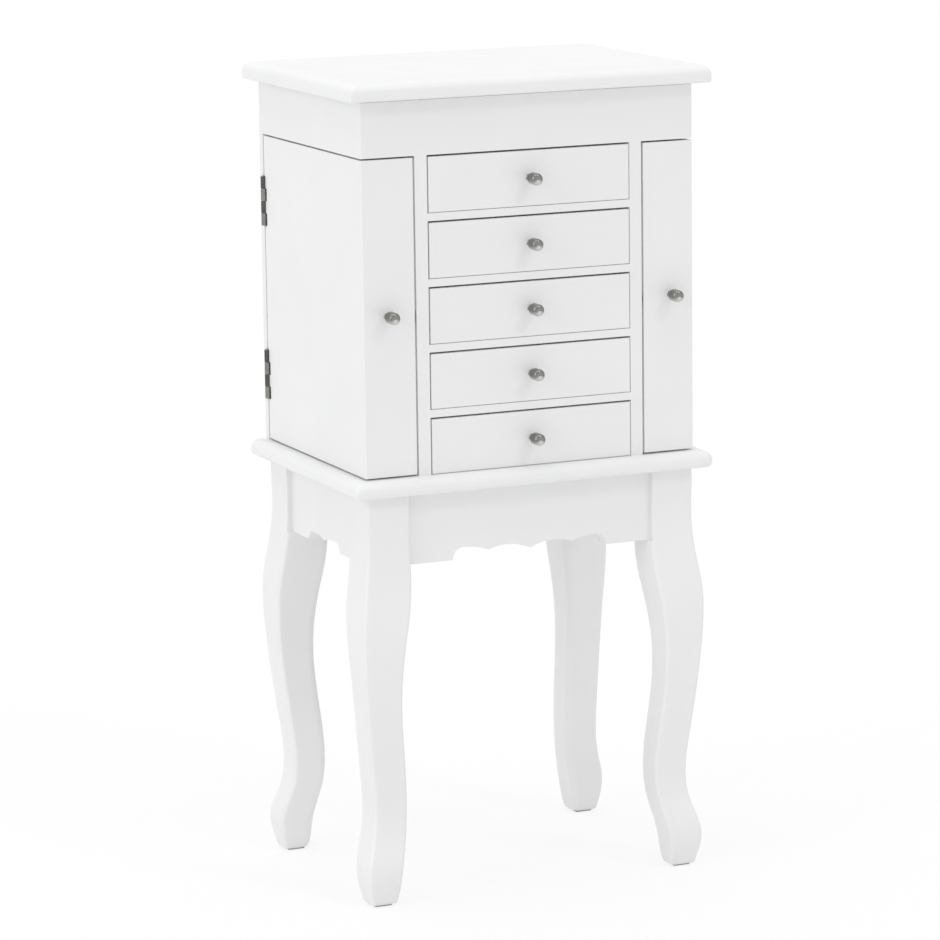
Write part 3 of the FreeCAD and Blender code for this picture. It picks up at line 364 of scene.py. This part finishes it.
# Painted shade and highlight along a knob, from its face (0) to its seat (1): a low share paints it dark, a
# high one bright.
PAINTED_LIGHT_ALONG_KNOB = [(0.0, 0.20), (0.06, 0.22), (0.12, 0.36), (0.19, 0.16),
                     (0.42, 0.06), (0.58, 0.12), (0.72, 0.55), (1.0, 0.30)]
# Painted floor reflection: from just below the knob's middle to its bottom, brighter by up to this share.
FLOOR_REFLECTION_FROM, FLOOR_REFLECTION_TO, FLOOR_REFLECTION_SHARE = -0.10, -0.90, 0.70


def painted_knob_light(tree, turning):
    """Painted light on a turned knob: shade and highlight by depth, and a painted floor reflection lower
    down.
    """
    parts = add(tree, "ShaderNodeSeparateXYZ", {0: turning})
    along = remap(tree, parts.outputs["X"], 0.0, KNOB_SEAT * MM, 0.0, 1.0)
    ramp = add(tree, "ShaderNodeValToRGB", {"Fac": along})
    stops = ramp.color_ramp.elements
    for position, share in PAINTED_LIGHT_ALONG_KNOB[1:-1]:
        stops.new(position)
    for stop, (position, share) in zip(stops, PAINTED_LIGHT_ALONG_KNOB):
        stop.color = (share, share, share, 1)
    # Painted reflection: the lower on the knob, the brighter, as a polished knob mirrors the white floor.
    floor_reflection = remap(tree, parts.outputs["Z"], FLOOR_REFLECTION_FROM, FLOOR_REFLECTION_TO, 0.0, FLOOR_REFLECTION_SHARE)
    return maths(tree, "ADD", ramp.outputs["Color"], floor_reflection, clamp=True)


print("stops along a knob:", len(PAINTED_LIGHT_ALONG_KNOB))

# %% Make the metals
def plated(name, bright, dark, polished, brushed, turned=False, stretch=(1, 1, 1)):
    """A plated metal. Turned pieces carry their own coordinates, and brushed ones stretch the marks."""
    material, tree, shader = start_finish(name)
    if turned:
        place = add(tree, "ShaderNodeAttribute", attribute_name="turning").outputs["Vector"]
    else:
        place = object_place(tree)
    drawn = add(tree, "ShaderNodeMapping", {"Vector": place, "Scale": stretch})
    metal = use_group(tree, plating, {"Bright": (*bright, 1), "Dark": (*dark, 1), "Polished": polished,
                                      "Brushed": brushed, "Place": drawn.outputs[0]})
    # On a knob the ramp and the height paint shade, highlights and the floor's reflection into the tone.
    if turned:
        tree.links.new(painted_knob_light(tree, place), metal.inputs["Painted Light"])
    bump = bumps(tree, metal.outputs["Height"], strength=0.2, distance=0.00003)
    cover(tree, shader, metal.outputs["Colour"], metal.outputs["Roughness"], bump)
    shader.inputs["Metallic"].default_value = 1.0
    return material


knob_nickel = plated("turned_nickel", (0.63, 0.63, 0.60), (0.118, 0.119, 0.108),
                     polished=0.10, brushed=0.20, turned=True, stretch=(1, 1, 0))
hinge_nickel = plated("hinge_nickel_plate", (0.42, 0.41, 0.39), (0.12, 0.118, 0.113),
                      polished=0.14, brushed=0.28, stretch=(1, 1, 0.4))
# The doors' hinge leaves take a darker copy of the hinge plating: painted shade.
shaded_hinge = plated("painted_shade_hinge_plate", (0.17, 0.166, 0.158), (0.03, 0.030, 0.029),
                    polished=0.18, brushed=0.34, stretch=(1, 1, 0.4))
hook_nickel = plated("hook_nickel_plate", (0.56, 0.53, 0.49), (0.42, 0.40, 0.37),
                     polished=0.16, brushed=0.30)
screw_zinc = plated("screw_zinc", (0.62, 0.62, 0.60), (0.46, 0.46, 0.45),
                    polished=0.24, brushed=0.42)
magnet_steel = plated("dull_magnet_steel", (0.40, 0.40, 0.41), (0.28, 0.28, 0.285),
                      polished=0.38, brushed=0.55, stretch=(0.1, 1, 1))
metals = (knob_nickel, hinge_nickel, shaded_hinge, hook_nickel, screw_zinc, magnet_steel)
print("metals:", [metal.name for metal in metals])

# %% [markdown]
# ## Rubber, felt, velvet and glass
# The pads under the feet and the bumpers under the lid are moulded rubber: pale grey, dull, with a fine
# pitted skin. Felt and velvet are both a pile of fibres, so one group gives them their nap, a fine noise
# in tone and height, and sheen on the shader lights the fibres' tips. The mirror is silvered glass with a
# very faint haze.

# %% Rubber
pad_rubber, tree, shader = start_finish("pad_rubber")
place = object_place(tree)
pits = noise(tree, place, scale=1800.0, detail=3.0)
dust = noise(tree, place, scale=120.0, detail=2.0)
grey = mixed(tree, dust, (0.50, 0.50, 0.49, 1), (0.40, 0.395, 0.385, 1))
dull = remap(tree, pits, NOISE_LOW, NOISE_HIGH, 0.55, 0.8)
cover(tree, shader, grey, dull, bumps(tree, pits, strength=0.4, distance=0.0001))
print("made:", pad_rubber.name)

# %% Mirror
looking_glass, tree, shader = start_finish("looking_glass")
haze = noise(tree, object_place(tree), scale=30.0, detail=4.0)
silver = mixed(tree, haze, (0.90, 0.915, 0.91, 1), (0.86, 0.875, 0.87, 1))
clear = remap(tree, haze, NOISE_LOW, NOISE_HIGH, 0.01, 0.045)
cover(tree, shader, silver, clear)
shader.inputs["Metallic"].default_value = 1.0
print("made:", looking_glass.name)

# %% Group: nap
BRUSHED_WEIGHT = 0.7

nap, given, end = start_group(
    "nap",
    [("Root", COLOUR, (0.3, 0.3, 0.3, 1)), ("Tip", COLOUR, (0.5, 0.5, 0.5, 1)),
     ("Fibre Scale", NUMBER, 1500.0)],
    [("Colour", COLOUR), ("Height", NUMBER), ("Roughness", NUMBER)])
place = object_place(nap)
fibres = noise(nap, place, scale=given["Fibre Scale"], detail=4.0, roughness=0.7, distortion=0.6)
brushed = noise(nap, place, scale=70.0, detail=2.0)
lie = maths(nap, "MULTIPLY_ADD", brushed, BRUSHED_WEIGHT, fibres)
lit = remap(nap, lie, 0.6, 1.1, 0.0, 1.0)
pile = mixed(nap, lit, given["Root"], given["Tip"])
matt = remap(nap, fibres, NOISE_LOW, NOISE_HIGH, 0.82, 1.0)
close_group(nap, end, {"Colour": pile, "Height": fibres, "Roughness": matt})

# %% Felt and velvet
def pile_cloth(name, root, tip, fibre_scale, depth, sheen, sheen_roughness):
    """A cloth with a pile: felt when the pile is short and matted, velvet when its tips catch the light."""
    material, tree, shader = start_finish(name)
    cloth = use_group(tree, nap, {"Root": (*root, 1), "Tip": (*tip, 1), "Fibre Scale": fibre_scale})
    bump = bumps(tree, cloth.outputs["Height"], strength=0.6, distance=depth)
    cover(tree, shader, cloth.outputs["Colour"], cloth.outputs["Roughness"], bump)
    shader.inputs["Sheen Weight"].default_value = sheen
    shader.inputs["Sheen Roughness"].default_value = sheen_roughness
    shader.inputs["Specular IOR Level"].default_value = 0.2
    return material


lining_felt = pile_cloth("lining_felt", (0.235, 0.215, 0.190), (0.400, 0.370, 0.335), fibre_scale=1400.0,
                         depth=0.0003, sheen=0.25, sheen_roughness=0.6)
roll_velvet = pile_cloth("roll_velvet", (0.220, 0.200, 0.178), (0.345, 0.318, 0.286), fibre_scale=2400.0,
                         depth=0.0002, sheen=0.55, sheen_roughness=0.35)
print("cloths:", lining_felt.name, roll_velvet.name)

# %% [markdown]
# ## Dress the boards and fittings
# Each CAD node keeps its shape and gets its finish by its material slot. The lists read like a workshop's
# spray plan: what is sprayed outside, what is sprayed flush, what is inside, and what is metal or rubber.

# %% Hand out the finishes
drawers = [f"drawer_{number}" for number in range(1, 6)]
spray_plan = {
    outside_white: ["waist_board", "lid_board", "back_panel", "mirror_frame"]
    + [f"{drawer}_front" for drawer in drawers],
    flush_white: ["leg_front_right", "leg_front_left", "leg_rear_right", "leg_rear_left", "front_apron",
                  "right_apron", "left_apron", "rear_apron", "frieze_front", "frieze_right", "frieze_left",
                  "right_door_side_panel", "left_door_side_panel", "right_door_front_panel",
                  "left_door_front_panel", "right_partition", "left_partition", "drawer_shelves"],
    inside_white: ["corner_blocks", "compartment_floor", "compartment_divider"]
    + [f"{drawer}_box" for drawer in drawers],
    hinge_nickel: ["door_hinge_fixed_leaves", "lid_hinge_fixed_leaves", "lid_hinge_leaves"],
    shaded_hinge: ["right_door_hinge_leaves", "left_door_hinge_leaves"],
    hook_nickel: ["right_door_necklace_hooks", "left_door_necklace_hooks"],
    magnet_steel: ["door_magnets", "right_door_catch_plate", "left_door_catch_plate"],
    pad_rubber: ["foot_pads", "lid_bumpers"],
}
for finish, names in spray_plan.items():
    for name in names:
        nodes[name].material_slots[0].material = finish
    print(finish.name, "on", len(names), "nodes")

# %% [markdown]
# ## Turned knobs
# Each drawer and door has one small metal knob: a thin neck, and a round body with a shoulder behind and
# a softly domed front. On a lathe the tool follows a profile while the bar turns. Here a ring of vertices
# is extruded and scaled along the same profile, which is turning done by hand. Spin would do it too, but
# the extruded rings keep an even grid and need no merging. The finished mesh carries an attribute with
# each vertex's depth and radius, so that the tool marks and the painted shade and highlights in the
# plating run round the knob, and how high on the knob it is, from -1 below to 1 on top, which paints the
# underside brighter as a reflection of the floor.

# %% Turn a profile
def turned(name, profile, steps=48):
    """Extrude and scale a ring along (depth along Y, radius) pairs in millimetres, and close its ends."""
    clear_selection()
    depth, radius = profile[0]
    bpy.ops.mesh.primitive_circle_add(vertices=steps, radius=radius * MM, location=(0, depth * MM, 0),
                                      rotation=(math.pi / 2, 0, 0))
    piece = bpy.context.object
    piece.name = name
    bpy.ops.object.transform_apply(location=True, rotation=True, scale=True)
    bpy.ops.object.mode_set(mode="EDIT")
    bpy.ops.mesh.select_mode(type="EDGE")
    bpy.ops.mesh.select_all(action="SELECT")
    for (depth_before, radius_before), (depth, radius) in zip(profile, profile[1:]):
        step = (0, (depth - depth_before) * MM, 0)
        bpy.ops.mesh.extrude_region_move(TRANSFORM_OT_translate={"value": step})
        scale = radius / radius_before
        bpy.ops.transform.resize(value=(scale, 1, scale), center_override=(0, depth * MM, 0))
    bpy.ops.mesh.edge_face_add()
    bpy.ops.mesh.select_all(action="DESELECT")
    bpy.ops.mesh.select_non_manifold()
    bpy.ops.mesh.edge_face_add()
    bpy.ops.mesh.select_all(action="SELECT")
    bpy.ops.mesh.normals_make_consistent(inside=False)
    bpy.ops.object.mode_set(mode="OBJECT")
    bpy.ops.object.shade_smooth_by_angle(angle=SMOOTH_ANGLE)
    return piece


def mark_turning(piece):
    """Store depth, radius and height per vertex, for turning marks and a painted floor reflection below."""
    turning = piece.data.attributes.new("turning", "FLOAT_VECTOR", "POINT")
    for vertex, value in zip(piece.data.vertices, turning.data):
        radius = math.hypot(vertex.co.x, vertex.co.z)
        value.vector = (vertex.co.y, radius, vertex.co.z / radius)


print("lathe ready")

# %% Turn one knob
NECK_LENGTH = 4.0


def arc(centre, radius, start, end, steps=6):
    """Points on an arc of a profile, from one angle to another in degrees, as (depth, radius) pairs."""
    angles = [math.radians(start + (end - start) * step / steps) for step in range(steps + 1)]
    return [(centre[0] - radius * math.sin(angle), centre[1] + radius * math.cos(angle))
            for angle in angles]


neck = [(KNOB_SEAT, 2.5), (KNOB_SEAT - 0.35, 2.22), (KNOB_SEAT - 0.8, 2.2),
        (KNOB_SEAT - NECK_LENGTH, 2.2), (KNOB_SEAT - NECK_LENGTH - 0.2, 2.28)]
shoulder = arc((8.30, 1.85), 2.35, -72, 0)
body = [(8.1, 4.2), (5.4, 4.2), (2.6, 4.2)]
dome = arc((2.4, 1.8), 2.4, 0, 90, steps=9)
face = [(0.0, 1.2), (0.0, 0.25)]
knob = turned("knob", neck + shoulder + body + dome + face)
mark_turning(knob)
print("knob faces:", len(knob.data.polygons))

# %% [markdown]
# ## The knobs' screws
# A knob is held by one screw through the panel, with its pan head on the inside, where it shows when a
# drawer or door is open. The head is turned like the knob, and a cross is cut in it with a Boolean, as a
# punch would.

# %% Turn one screw and punch its cross
PANEL = 9.0
SHANK_RADIUS = 1.45
PAN_HEIGHT = 1.8


def punch_cross(piece, depth, reach, width, cut):
    """Cut a cross recess into a screw head that faces +Y at a depth, all in millimetres."""
    clear_selection()
    arms = []
    for turn in (0, math.pi / 2):
        bpy.ops.mesh.primitive_cube_add(size=1, location=(0, depth * MM, 0), rotation=(0, turn, 0),
                                        scale=(2 * reach * MM, 2 * cut * MM, width * MM))
        arms.append(bpy.context.object)
    for arm in arms:
        punch = piece.modifiers.new("punch", "BOOLEAN")
        punch.object = arm
        punch.operation = "DIFFERENCE"
        punch.solver = "EXACT"
        clear_selection()
        bpy.context.view_layer.objects.active = piece
        piece.select_set(True)
        bpy.ops.object.modifier_apply(modifier=punch.name)
        bpy.data.objects.remove(arm)
    bpy.ops.object.shade_smooth_by_angle(angle=SMOOTH_ANGLE)


pan_seat = KNOB_SEAT + PANEL
pan = [(0, SHANK_RADIUS), (0, 3.1), (0.4, 3.3), (1.0, 3.2), (1.45, 2.7), (1.7, 2.0),
       (PAN_HEIGHT, 1.2), (PAN_HEIGHT, 0.3)]
shank = [(KNOB_SEAT - NECK_LENGTH, SHANK_RADIUS)]
screw_profile = shank + [(pan_seat + rise, radius) for rise, radius in pan]
knob_screw = turned("knob_screw", screw_profile, steps=32)
punch_cross(knob_screw, depth=pan_seat + PAN_HEIGHT, reach=1.7, width=0.7, cut=0.9)
print("screw faces:", len(knob_screw.data.polygons))

# %% Fit a knob and a screw to every drawer and door
for owner in drawers + ["left_door", "right_door"]:
    plain_knob = f"{owner}_knob"
    low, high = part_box(plain_knob)
    shift = Vector(((low.x + high.x) / 2, low.y, (low.z + high.z) / 2))
    fit(copy_to(knob, f"{owner}_turned_knob", shift), owner, knob_nickel, [plain_knob])
    fit(copy_to(knob_screw, f"{owner}_knob_screw", shift), owner, screw_zinc, [plain_knob])
bpy.data.objects.remove(knob)
bpy.data.objects.remove(knob_screw)
print("knobs fitted:", len(drawers) + 2)

# %% [markdown]
# ## Hinge screws
# The leaves of the doors' hinges are screwed down with small countersunk screws, which show when a door
# is open. They stand only a hair proud of the leaf, so that the hinge still shuts.

# %% Turn one countersunk head
flush = [(-0.6, 0.9), (-0.05, 1.55), (0.05, 1.6), (0.08, 1.4), (0.09, 0.8), (0.09, 0.2)]
flush_screw = turned("flush_screw", flush, steps=24)
punch_cross(flush_screw, depth=0.09, reach=0.85, width=0.34, cut=0.3)
print("countersunk head faces:", len(flush_screw.data.polygons))

# %% Drive the screws into the leaves
HINGE_BOTTOMS = [330.4, 454.45]
SCREW_COLUMN = 118.0
DOOR_LEAF_FACE, DOOR_SCREW_RISES = 88.0, (7.5, 27.3)
CASE_LEAF_FACE, CASE_SCREW_RISES = 88.3, (12.5, 22.3)


def flush_screws(name, body, places, facing):
    """Set countersunk heads at places in millimetres, all facing one way, and join them as one piece."""
    heads = []
    for number, spot in enumerate(places):
        head = copy_to(flush_screw, f"{name}_{number}", (0, 0, 0))
        turn = Vector((0, 1, 0)).rotation_difference(Vector(facing)).to_matrix().to_4x4()
        head.data.transform(Matrix.Translation(Vector(spot) * MM) @ turn)
        heads.append(head)
    fit(join_as(heads, name), body, screw_zinc)
    print(name, len(places), "heads")


for side, sign in (("right", 1), ("left", -1)):
    spots = [(sign * SCREW_COLUMN, DOOR_LEAF_FACE, bottom + rise)
             for bottom in HINGE_BOTTOMS for rise in DOOR_SCREW_RISES]
    flush_screws(f"{side}_door_hinge_screws", f"{side}_door", spots, (0, 1, 0))
spots = [(sign * SCREW_COLUMN, CASE_LEAF_FACE, bottom + rise)
         for sign in (1, -1) for bottom in HINGE_BOTTOMS for rise in CASE_SCREW_RISES]
flush_screws("case_hinge_screws", "cabinet", spots, (0, -1, 0))
bpy.data.objects.remove(flush_screw)

# %% [markdown]
# ## Door stops
# Behind the upright seam of each corner door, a thin painted strip is glued to the partition. It stops
# dust and keeps the seam from looking like a black slot. A strip is a long bar with eased edges, left out
# at the magnet.

# %% Glue the strips
STOP_THICKNESS, STOP_FRONT, STOP_BACK = 1.2, 2.6, 8.0
STOP_EASE = 0.35
STOP_END, STOP_MAGNET_GAP = 2.0, 1.0


def door_stop(name, sign):
    """Two thin bars on one partition, above and below its magnet."""
    low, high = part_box("right_partition")
    magnet_low, magnet_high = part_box("door_magnets")
    lower = (low.z + STOP_END * MM, magnet_low.z - STOP_MAGNET_GAP * MM)
    upper = (magnet_high.z + STOP_MAGNET_GAP * MM, high.z - STOP_END * MM)
    across = sign * (high.x + STOP_THICKNESS / 2 * MM)
    along = low.y + (STOP_FRONT + STOP_BACK) / 2 * MM
    bars = []
    for bottom, top in (lower, upper):
        size = (STOP_THICKNESS * MM, (STOP_BACK - STOP_FRONT) * MM, top - bottom)
        bar = add_block((across, along, (bottom + top) / 2), size)
        bpy.ops.object.mode_set(mode="EDIT")
        pick("EDGE", lambda edge: abs(middle(edge).x) > high.x + STOP_THICKNESS * 0.9 * MM)
        bpy.ops.mesh.bevel(offset=STOP_EASE * MM, segments=3)
        bpy.ops.object.mode_set(mode="OBJECT")
        bars.append(bar)
    fit(join_as(bars, name), "cabinet", flush_white)
    print(name, "bars:", len(bars))


door_stop("right_door_stop", 1)
door_stop("left_door_stop", -1)

# %% [markdown]
# ## Felt linings
# The top compartment and the five drawers are lined with thin felt, cut to size and glued down flat. A
# felt is not a plain plate: its face is a little uneven. A plane is subdivided and given its thickness by
# Solidify, and its upper face is moved a fraction of a millimetre by a cloud texture.

# %% Cut a felt
FELT_CUTS = 48
FELT_THICKNESS = 1.0
FELT_UNEVENNESS, FELT_MIDDLE = 0.0004, 0.65
FELT_CLOUD_SIZE = 0.012
FELT_SMOOTH_ANGLE = math.radians(50)
felt_clouds = bpy.data.textures.new("felt_clouds", "CLOUDS")
felt_clouds.noise_scale = FELT_CLOUD_SIZE


def lay_felt(name, body, low, high, stands_for=()):
    """A felt cut to a rectangle (low and high corners in millimetres) and laid on a board."""
    clear_selection()
    width, length = high[0] - low[0], high[1] - low[1]
    centre = ((low[0] + high[0]) / 2 * MM, (low[1] + high[1]) / 2 * MM, low[2] * MM)
    bpy.ops.mesh.primitive_plane_add(size=1, location=centre)
    felt = bpy.context.object
    felt.name = name
    felt.scale = (width * MM, length * MM, 1)
    bpy.ops.object.transform_apply(location=True, rotation=True, scale=True)
    bpy.ops.object.mode_set(mode="EDIT")
    bpy.ops.mesh.subdivide(number_cuts=FELT_CUTS)
    bpy.ops.object.mode_set(mode="OBJECT")
    thickness = felt.modifiers.new("thickness", "SOLIDIFY")
    thickness.thickness = FELT_THICKNESS * MM
    thickness.offset = 1.0
    bpy.ops.object.modifier_apply(modifier=thickness.name)
    half_way = (low[2] + FELT_THICKNESS / 2) * MM
    upper = felt.vertex_groups.new(name="upper")
    upper.add([vertex.index for vertex in felt.data.vertices if vertex.co.z > half_way], 1.0, "REPLACE")
    uneven = felt.modifiers.new("uneven", "DISPLACE")
    uneven.texture = felt_clouds
    uneven.texture_coords = "LOCAL"
    uneven.direction = "Z"
    uneven.strength = FELT_UNEVENNESS
    uneven.mid_level = FELT_MIDDLE
    uneven.vertex_group = upper.name
    bpy.ops.object.modifier_apply(modifier=uneven.name)
    bpy.ops.object.shade_smooth_by_angle(angle=FELT_SMOOTH_ANGLE)
    fit(felt, body, lining_felt, stands_for)


print("a felt's grid:", FELT_CUTS + 1, "squares each way")

# %% Lay the felts
DRAWER_FELT_SIDE, DRAWER_FELT_FRONT, DRAWER_FELT_BACK = 68.3, -80.8, 82.4
DRAWER_FLOOR = 5.0

low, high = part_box("compartment_lining")
lay_felt("compartment_felt", "cabinet", low / MM, high / MM, ["compartment_lining"])
for drawer in drawers:
    low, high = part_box(f"{drawer}_box")
    level = low.z / MM + DRAWER_FLOOR
    front_corner = (-DRAWER_FELT_SIDE, DRAWER_FELT_FRONT, level)
    back_corner = (DRAWER_FELT_SIDE, DRAWER_FELT_BACK, level + FELT_THICKNESS)
    lay_felt(f"{drawer}_felt", drawer, front_corner, back_corner)
print("felts laid:", len(drawers) + 1)

# %% [markdown]
# ## Ring rolls
# Under the lid, the right half holds seven soft rolls, side by side. Rings are pushed into the grooves
# between them. A roll is a foam strip wrapped in velvet, so it is crowned, its sides bulge a little and
# its ends are tucked round. One roll is modelled: a block with rounded upper edges is remeshed, its glued
# underside is pinned, and Cloth with pressure swells it. Then it is copied seven times.

# %% Swell a pad
AIR_PRESSURE = 4.0
SWELL_FRAMES = 20


def swell(pad, cap):
    """Swell a pad by air pressure, and let no point move further than a cap."""
    before = [vertex.co.copy() for vertex in pad.data.vertices]
    stuffing = pad.modifiers.new("stuffing", "CLOTH")
    stuffing.settings.use_pressure = True
    stuffing.settings.uniform_pressure_force = AIR_PRESSURE
    stuffing.settings.vertex_group_mass = "glued"
    stuffing.settings.effector_weights.gravity = 0.0
    stuffing.point_cache.frame_end = SWELL_FRAMES
    for moment in range(1, SWELL_FRAMES + 1):
        scene.frame_set(moment)
    bpy.ops.object.modifier_apply(modifier=stuffing.name)
    scene.frame_set(1)
    moved = 0.0
    for vertex, start in zip(pad.data.vertices, before):
        step = vertex.co - start
        moved = max(moved, step.length)
        if step.length > cap:
            vertex.co = start + step * (cap / step.length)
    print("most a point moved, mm:", round(moved / MM, 2), "capped at", cap / MM)


print("pressure:", AIR_PRESSURE, "frames:", SWELL_FRAMES)

# %% Shape one roll
ROLL_COUNT, ROLL_PITCH, ROLL_WIDTH = 7, 24.2, 23.6
ROOM_ALL_ROUND, ROOM_ABOVE = 2.6, 1.6
CROWN_RADIUS, END_RADIUS = 8.5, 2.2
VOXEL = 2.2
GLUED_BELOW = 1.2
SWELL_CAP = 1.1

roll_low, roll_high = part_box("ring_rolls")
start_length = roll_high.x - roll_low.x - ROOM_ALL_ROUND * MM
start_width = (ROLL_WIDTH - ROOM_ALL_ROUND) * MM
start_height = roll_high.z - roll_low.z - ROOM_ABOVE * MM
roll = add_block((0, 0, start_height / 2), (start_length, start_width, start_height))
roll.name = "ring_roll"
bpy.ops.object.mode_set(mode="EDIT")
pick("EDGE", lambda edge: middle(edge).z > start_height * 0.9 and abs(middle(edge).x) < 1 * MM)
bpy.ops.mesh.bevel(offset=CROWN_RADIUS * MM, segments=7, profile=0.5)
pick("EDGE", lambda edge: abs(middle(edge).x) > start_length * 0.49 and middle(edge).z > 1 * MM)
bpy.ops.mesh.bevel(offset=END_RADIUS * MM, segments=3, profile=0.5)
bpy.ops.object.mode_set(mode="OBJECT")
roll.data.remesh_voxel_size = VOXEL * MM
bpy.ops.object.voxel_remesh()
print("roll before it swells:", [round(value / MM, 1) for value in roll.dimensions])

# %% Swell it and lay seven side by side
glued = roll.vertex_groups.new(name="glued")
glued.add([vertex.index for vertex in roll.data.vertices if vertex.co.z < GLUED_BELOW * MM], 1.0, "REPLACE")
swell(roll, SWELL_CAP * MM)
finer = roll.modifiers.new("finer", "SUBSURF")
finer.levels = 1
finer.render_levels = 1
bpy.ops.object.modifier_apply(modifier=finer.name)
bpy.ops.object.shade_smooth()
print("one roll:", [round(value / MM, 1) for value in roll.dimensions], "faces:", len(roll.data.polygons))
first = roll_low.y + ROLL_WIDTH / 2 * MM
for number in range(ROLL_COUNT):
    shift = Vector(((roll_low.x + roll_high.x) / 2, first + number * ROLL_PITCH * MM, roll_low.z))
    laid = copy_to(roll, f"ring_roll_{number + 1}", shift)
    fit(laid, "cabinet", roll_velvet, ["ring_rolls"])
bpy.data.objects.remove(roll)
print("rolls laid:", ROLL_COUNT)

# %% [markdown]
# ## The mirror under the lid
# A looking glass is ground to a shallow bevel all round. With a flat plate, the edge would vanish under
# the frame. The plate's lower face is inset and its rim is raised, which gives the bevel its own tilt and
# its own reflection.

# %% Grind the glass
GLASS_BEVEL_WIDTH, GLASS_BEVEL_RISE = 9.0, 1.1

glass_low, glass_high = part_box("mirror_glass")
glass = add_block((glass_low + glass_high) / 2, glass_high - glass_low)
glass.name = "bevelled_glass"


def on_lower_rim(vertex):
    """Whether a vertex is on the outer edge of the glass's lower face."""
    at_side = abs(vertex.co.x) > glass_high.x - 1 * MM
    at_end = vertex.co.y > glass_high.y - 1 * MM or vertex.co.y < glass_low.y + 1 * MM
    return vertex.co.z < glass_low.z + 0.1 * MM and (at_side or at_end)


bpy.ops.object.mode_set(mode="EDIT")
pick("FACE", lambda face: face.normal.z < -0.9)
bpy.ops.mesh.inset(thickness=GLASS_BEVEL_WIDTH * MM)
pick("VERT", on_lower_rim)
bpy.ops.transform.translate(value=(0, 0, GLASS_BEVEL_RISE * MM))
bpy.ops.object.mode_set(mode="OBJECT")
fit(glass, "lid", looking_glass, ["mirror_glass"])
print("glass faces:", len(glass.data.polygons))

# %% [markdown]
# ## Pins in the back panel
# The back panel is held by small panel pins at its sides and foot, driven almost flush. A head is a
# shallow dome. It would be quicker to leave the panel bare, but the back is seen too, and a bare plate
# looks unfinished.

# %% Drive the pins
PIN_INSET = 4.5
PINS_UP_A_SIDE = 6
TOP_ROOM = 22
FOOT_PINS = (-80, -40, 0, 40, 80)

pin_profile = [(-0.6, 0.6), (0.0, 0.7), (0.0, 1.45), (0.15, 1.5), (0.32, 1.2), (0.4, 0.6), (0.41, 0.15)]
pin = turned("pin", pin_profile, steps=20)
panel_low, panel_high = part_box("back_panel")
inset = PIN_INSET * MM
pitch = (panel_high.z - panel_low.z - TOP_ROOM * MM) / (PINS_UP_A_SIDE - 1)
places = [(x, panel_low.z + inset + step * pitch)
          for x in (panel_low.x + inset, panel_high.x - inset) for step in range(PINS_UP_A_SIDE)]
places += [(x * MM, panel_low.z + inset) for x in FOOT_PINS]
pins = [copy_to(pin, f"pin_{number}", (x, panel_high.y, z)) for number, (x, z) in enumerate(places)]
fit(join_as(pins, "back_panel_pins"), "cabinet", screw_zinc)
bpy.data.objects.remove(pin)
print("pins driven:", len(pins))

# %% [markdown]
# ## The studio
# The photograph is a cut-out on white. A large pale floor runs past the camera's view, so there is no
# horizon. Light comes from a bright white surround and four soft suns: high in front on the right, which
# throws the knobs' small shadows, low on the left, which reaches the legs' inner faces, higher on the
# left, and overhead. The whole level is about one, so that a white written as 0.85 renders as 0.85. The
# floor adds some white of its own to what the camera, mirrors and glass see of it, and keeps the
# cabinet's soft shadow.

# %% Lay the floor
FLOOR_SIZE = 60
FLOOR_GLOW = 0.8


def seen(tree):
    """1 for what is seen directly, in a mirror or through glass, and 0 for what only gives light."""
    path = add(tree, "ShaderNodeLightPath").outputs
    direct = maths(tree, "MAXIMUM", path["Is Camera Ray"], path["Is Glossy Ray"])
    return maths(tree, "MAXIMUM", direct, path["Is Transmission Ray"])


clear_selection()
bpy.ops.mesh.primitive_plane_add(size=FLOOR_SIZE, location=(0, 0, 0))
floor = bpy.context.object
floor.name = "studio_floor"
floor_white, tree, shader = start_finish("floor_white")
sweep = noise(tree, object_place(tree), scale=0.8, detail=2.0)
pale = mixed(tree, sweep, (0.93, 0.93, 0.93, 1), (0.91, 0.91, 0.91, 1))
tree.links.new(pale, shader.inputs["Base Color"])
shader.inputs["Roughness"].default_value = 1.0
shader.inputs["Specular IOR Level"].default_value = 0.0
share = maths(tree, "MULTIPLY", seen(tree), FLOOR_GLOW)
glow = add(tree, "ShaderNodeEmission", {"Color": (1, 1, 1, 1), "Strength": 1.0})
surface = add(tree, "ShaderNodeMixShader", {0: share, 1: shader.outputs[0], 2: glow.outputs[0]})
tree.links.new(surface.outputs[0], tree.nodes["Material Output"].inputs["Surface"])
floor.data.materials.append(floor_white)
print("floor laid,", FLOOR_SIZE, "m across")

# %% Hang the lights
SKY_LIGHT, SKY_SEEN = 0.68, 1.0


def soft_sun(name, from_point, strength, spread):
    """A distant lamp with soft shadows, shining from a point towards the cabinet."""
    lamp = bpy.data.lights.new(name, "SUN")
    lamp.energy = strength
    lamp.angle = math.radians(spread)
    sun = bpy.data.objects.new(name, lamp)
    sun.rotation_euler = Vector(from_point).to_track_quat("Z", "Y").to_euler()
    scene.collection.objects.link(sun)


soft_sun("right_key", (0.55, -1.0, 1.05), strength=0.30, spread=13)
soft_sun("low_fill", (-1.0, -0.4, 0.08), strength=0.29, spread=40)
soft_sun("left_fill", (-1.0, -0.25, 0.55), strength=0.34, spread=30)
soft_sun("overhead", (-0.1, 0.05, 1.0), strength=0.91, spread=60)
surround = bpy.data.worlds.new("white_surround")
surround.use_nodes = True
scene.world = surround
tree = surround.node_tree
sky = tree.nodes["Background"]
sky.inputs["Color"].default_value = (1, 1, 1, 1)
level = remap(tree, seen(tree), 0.0, 1.0, SKY_LIGHT, SKY_SEEN)
tree.links.new(level, sky.inputs["Strength"])
scene.view_settings.view_transform = "Standard"
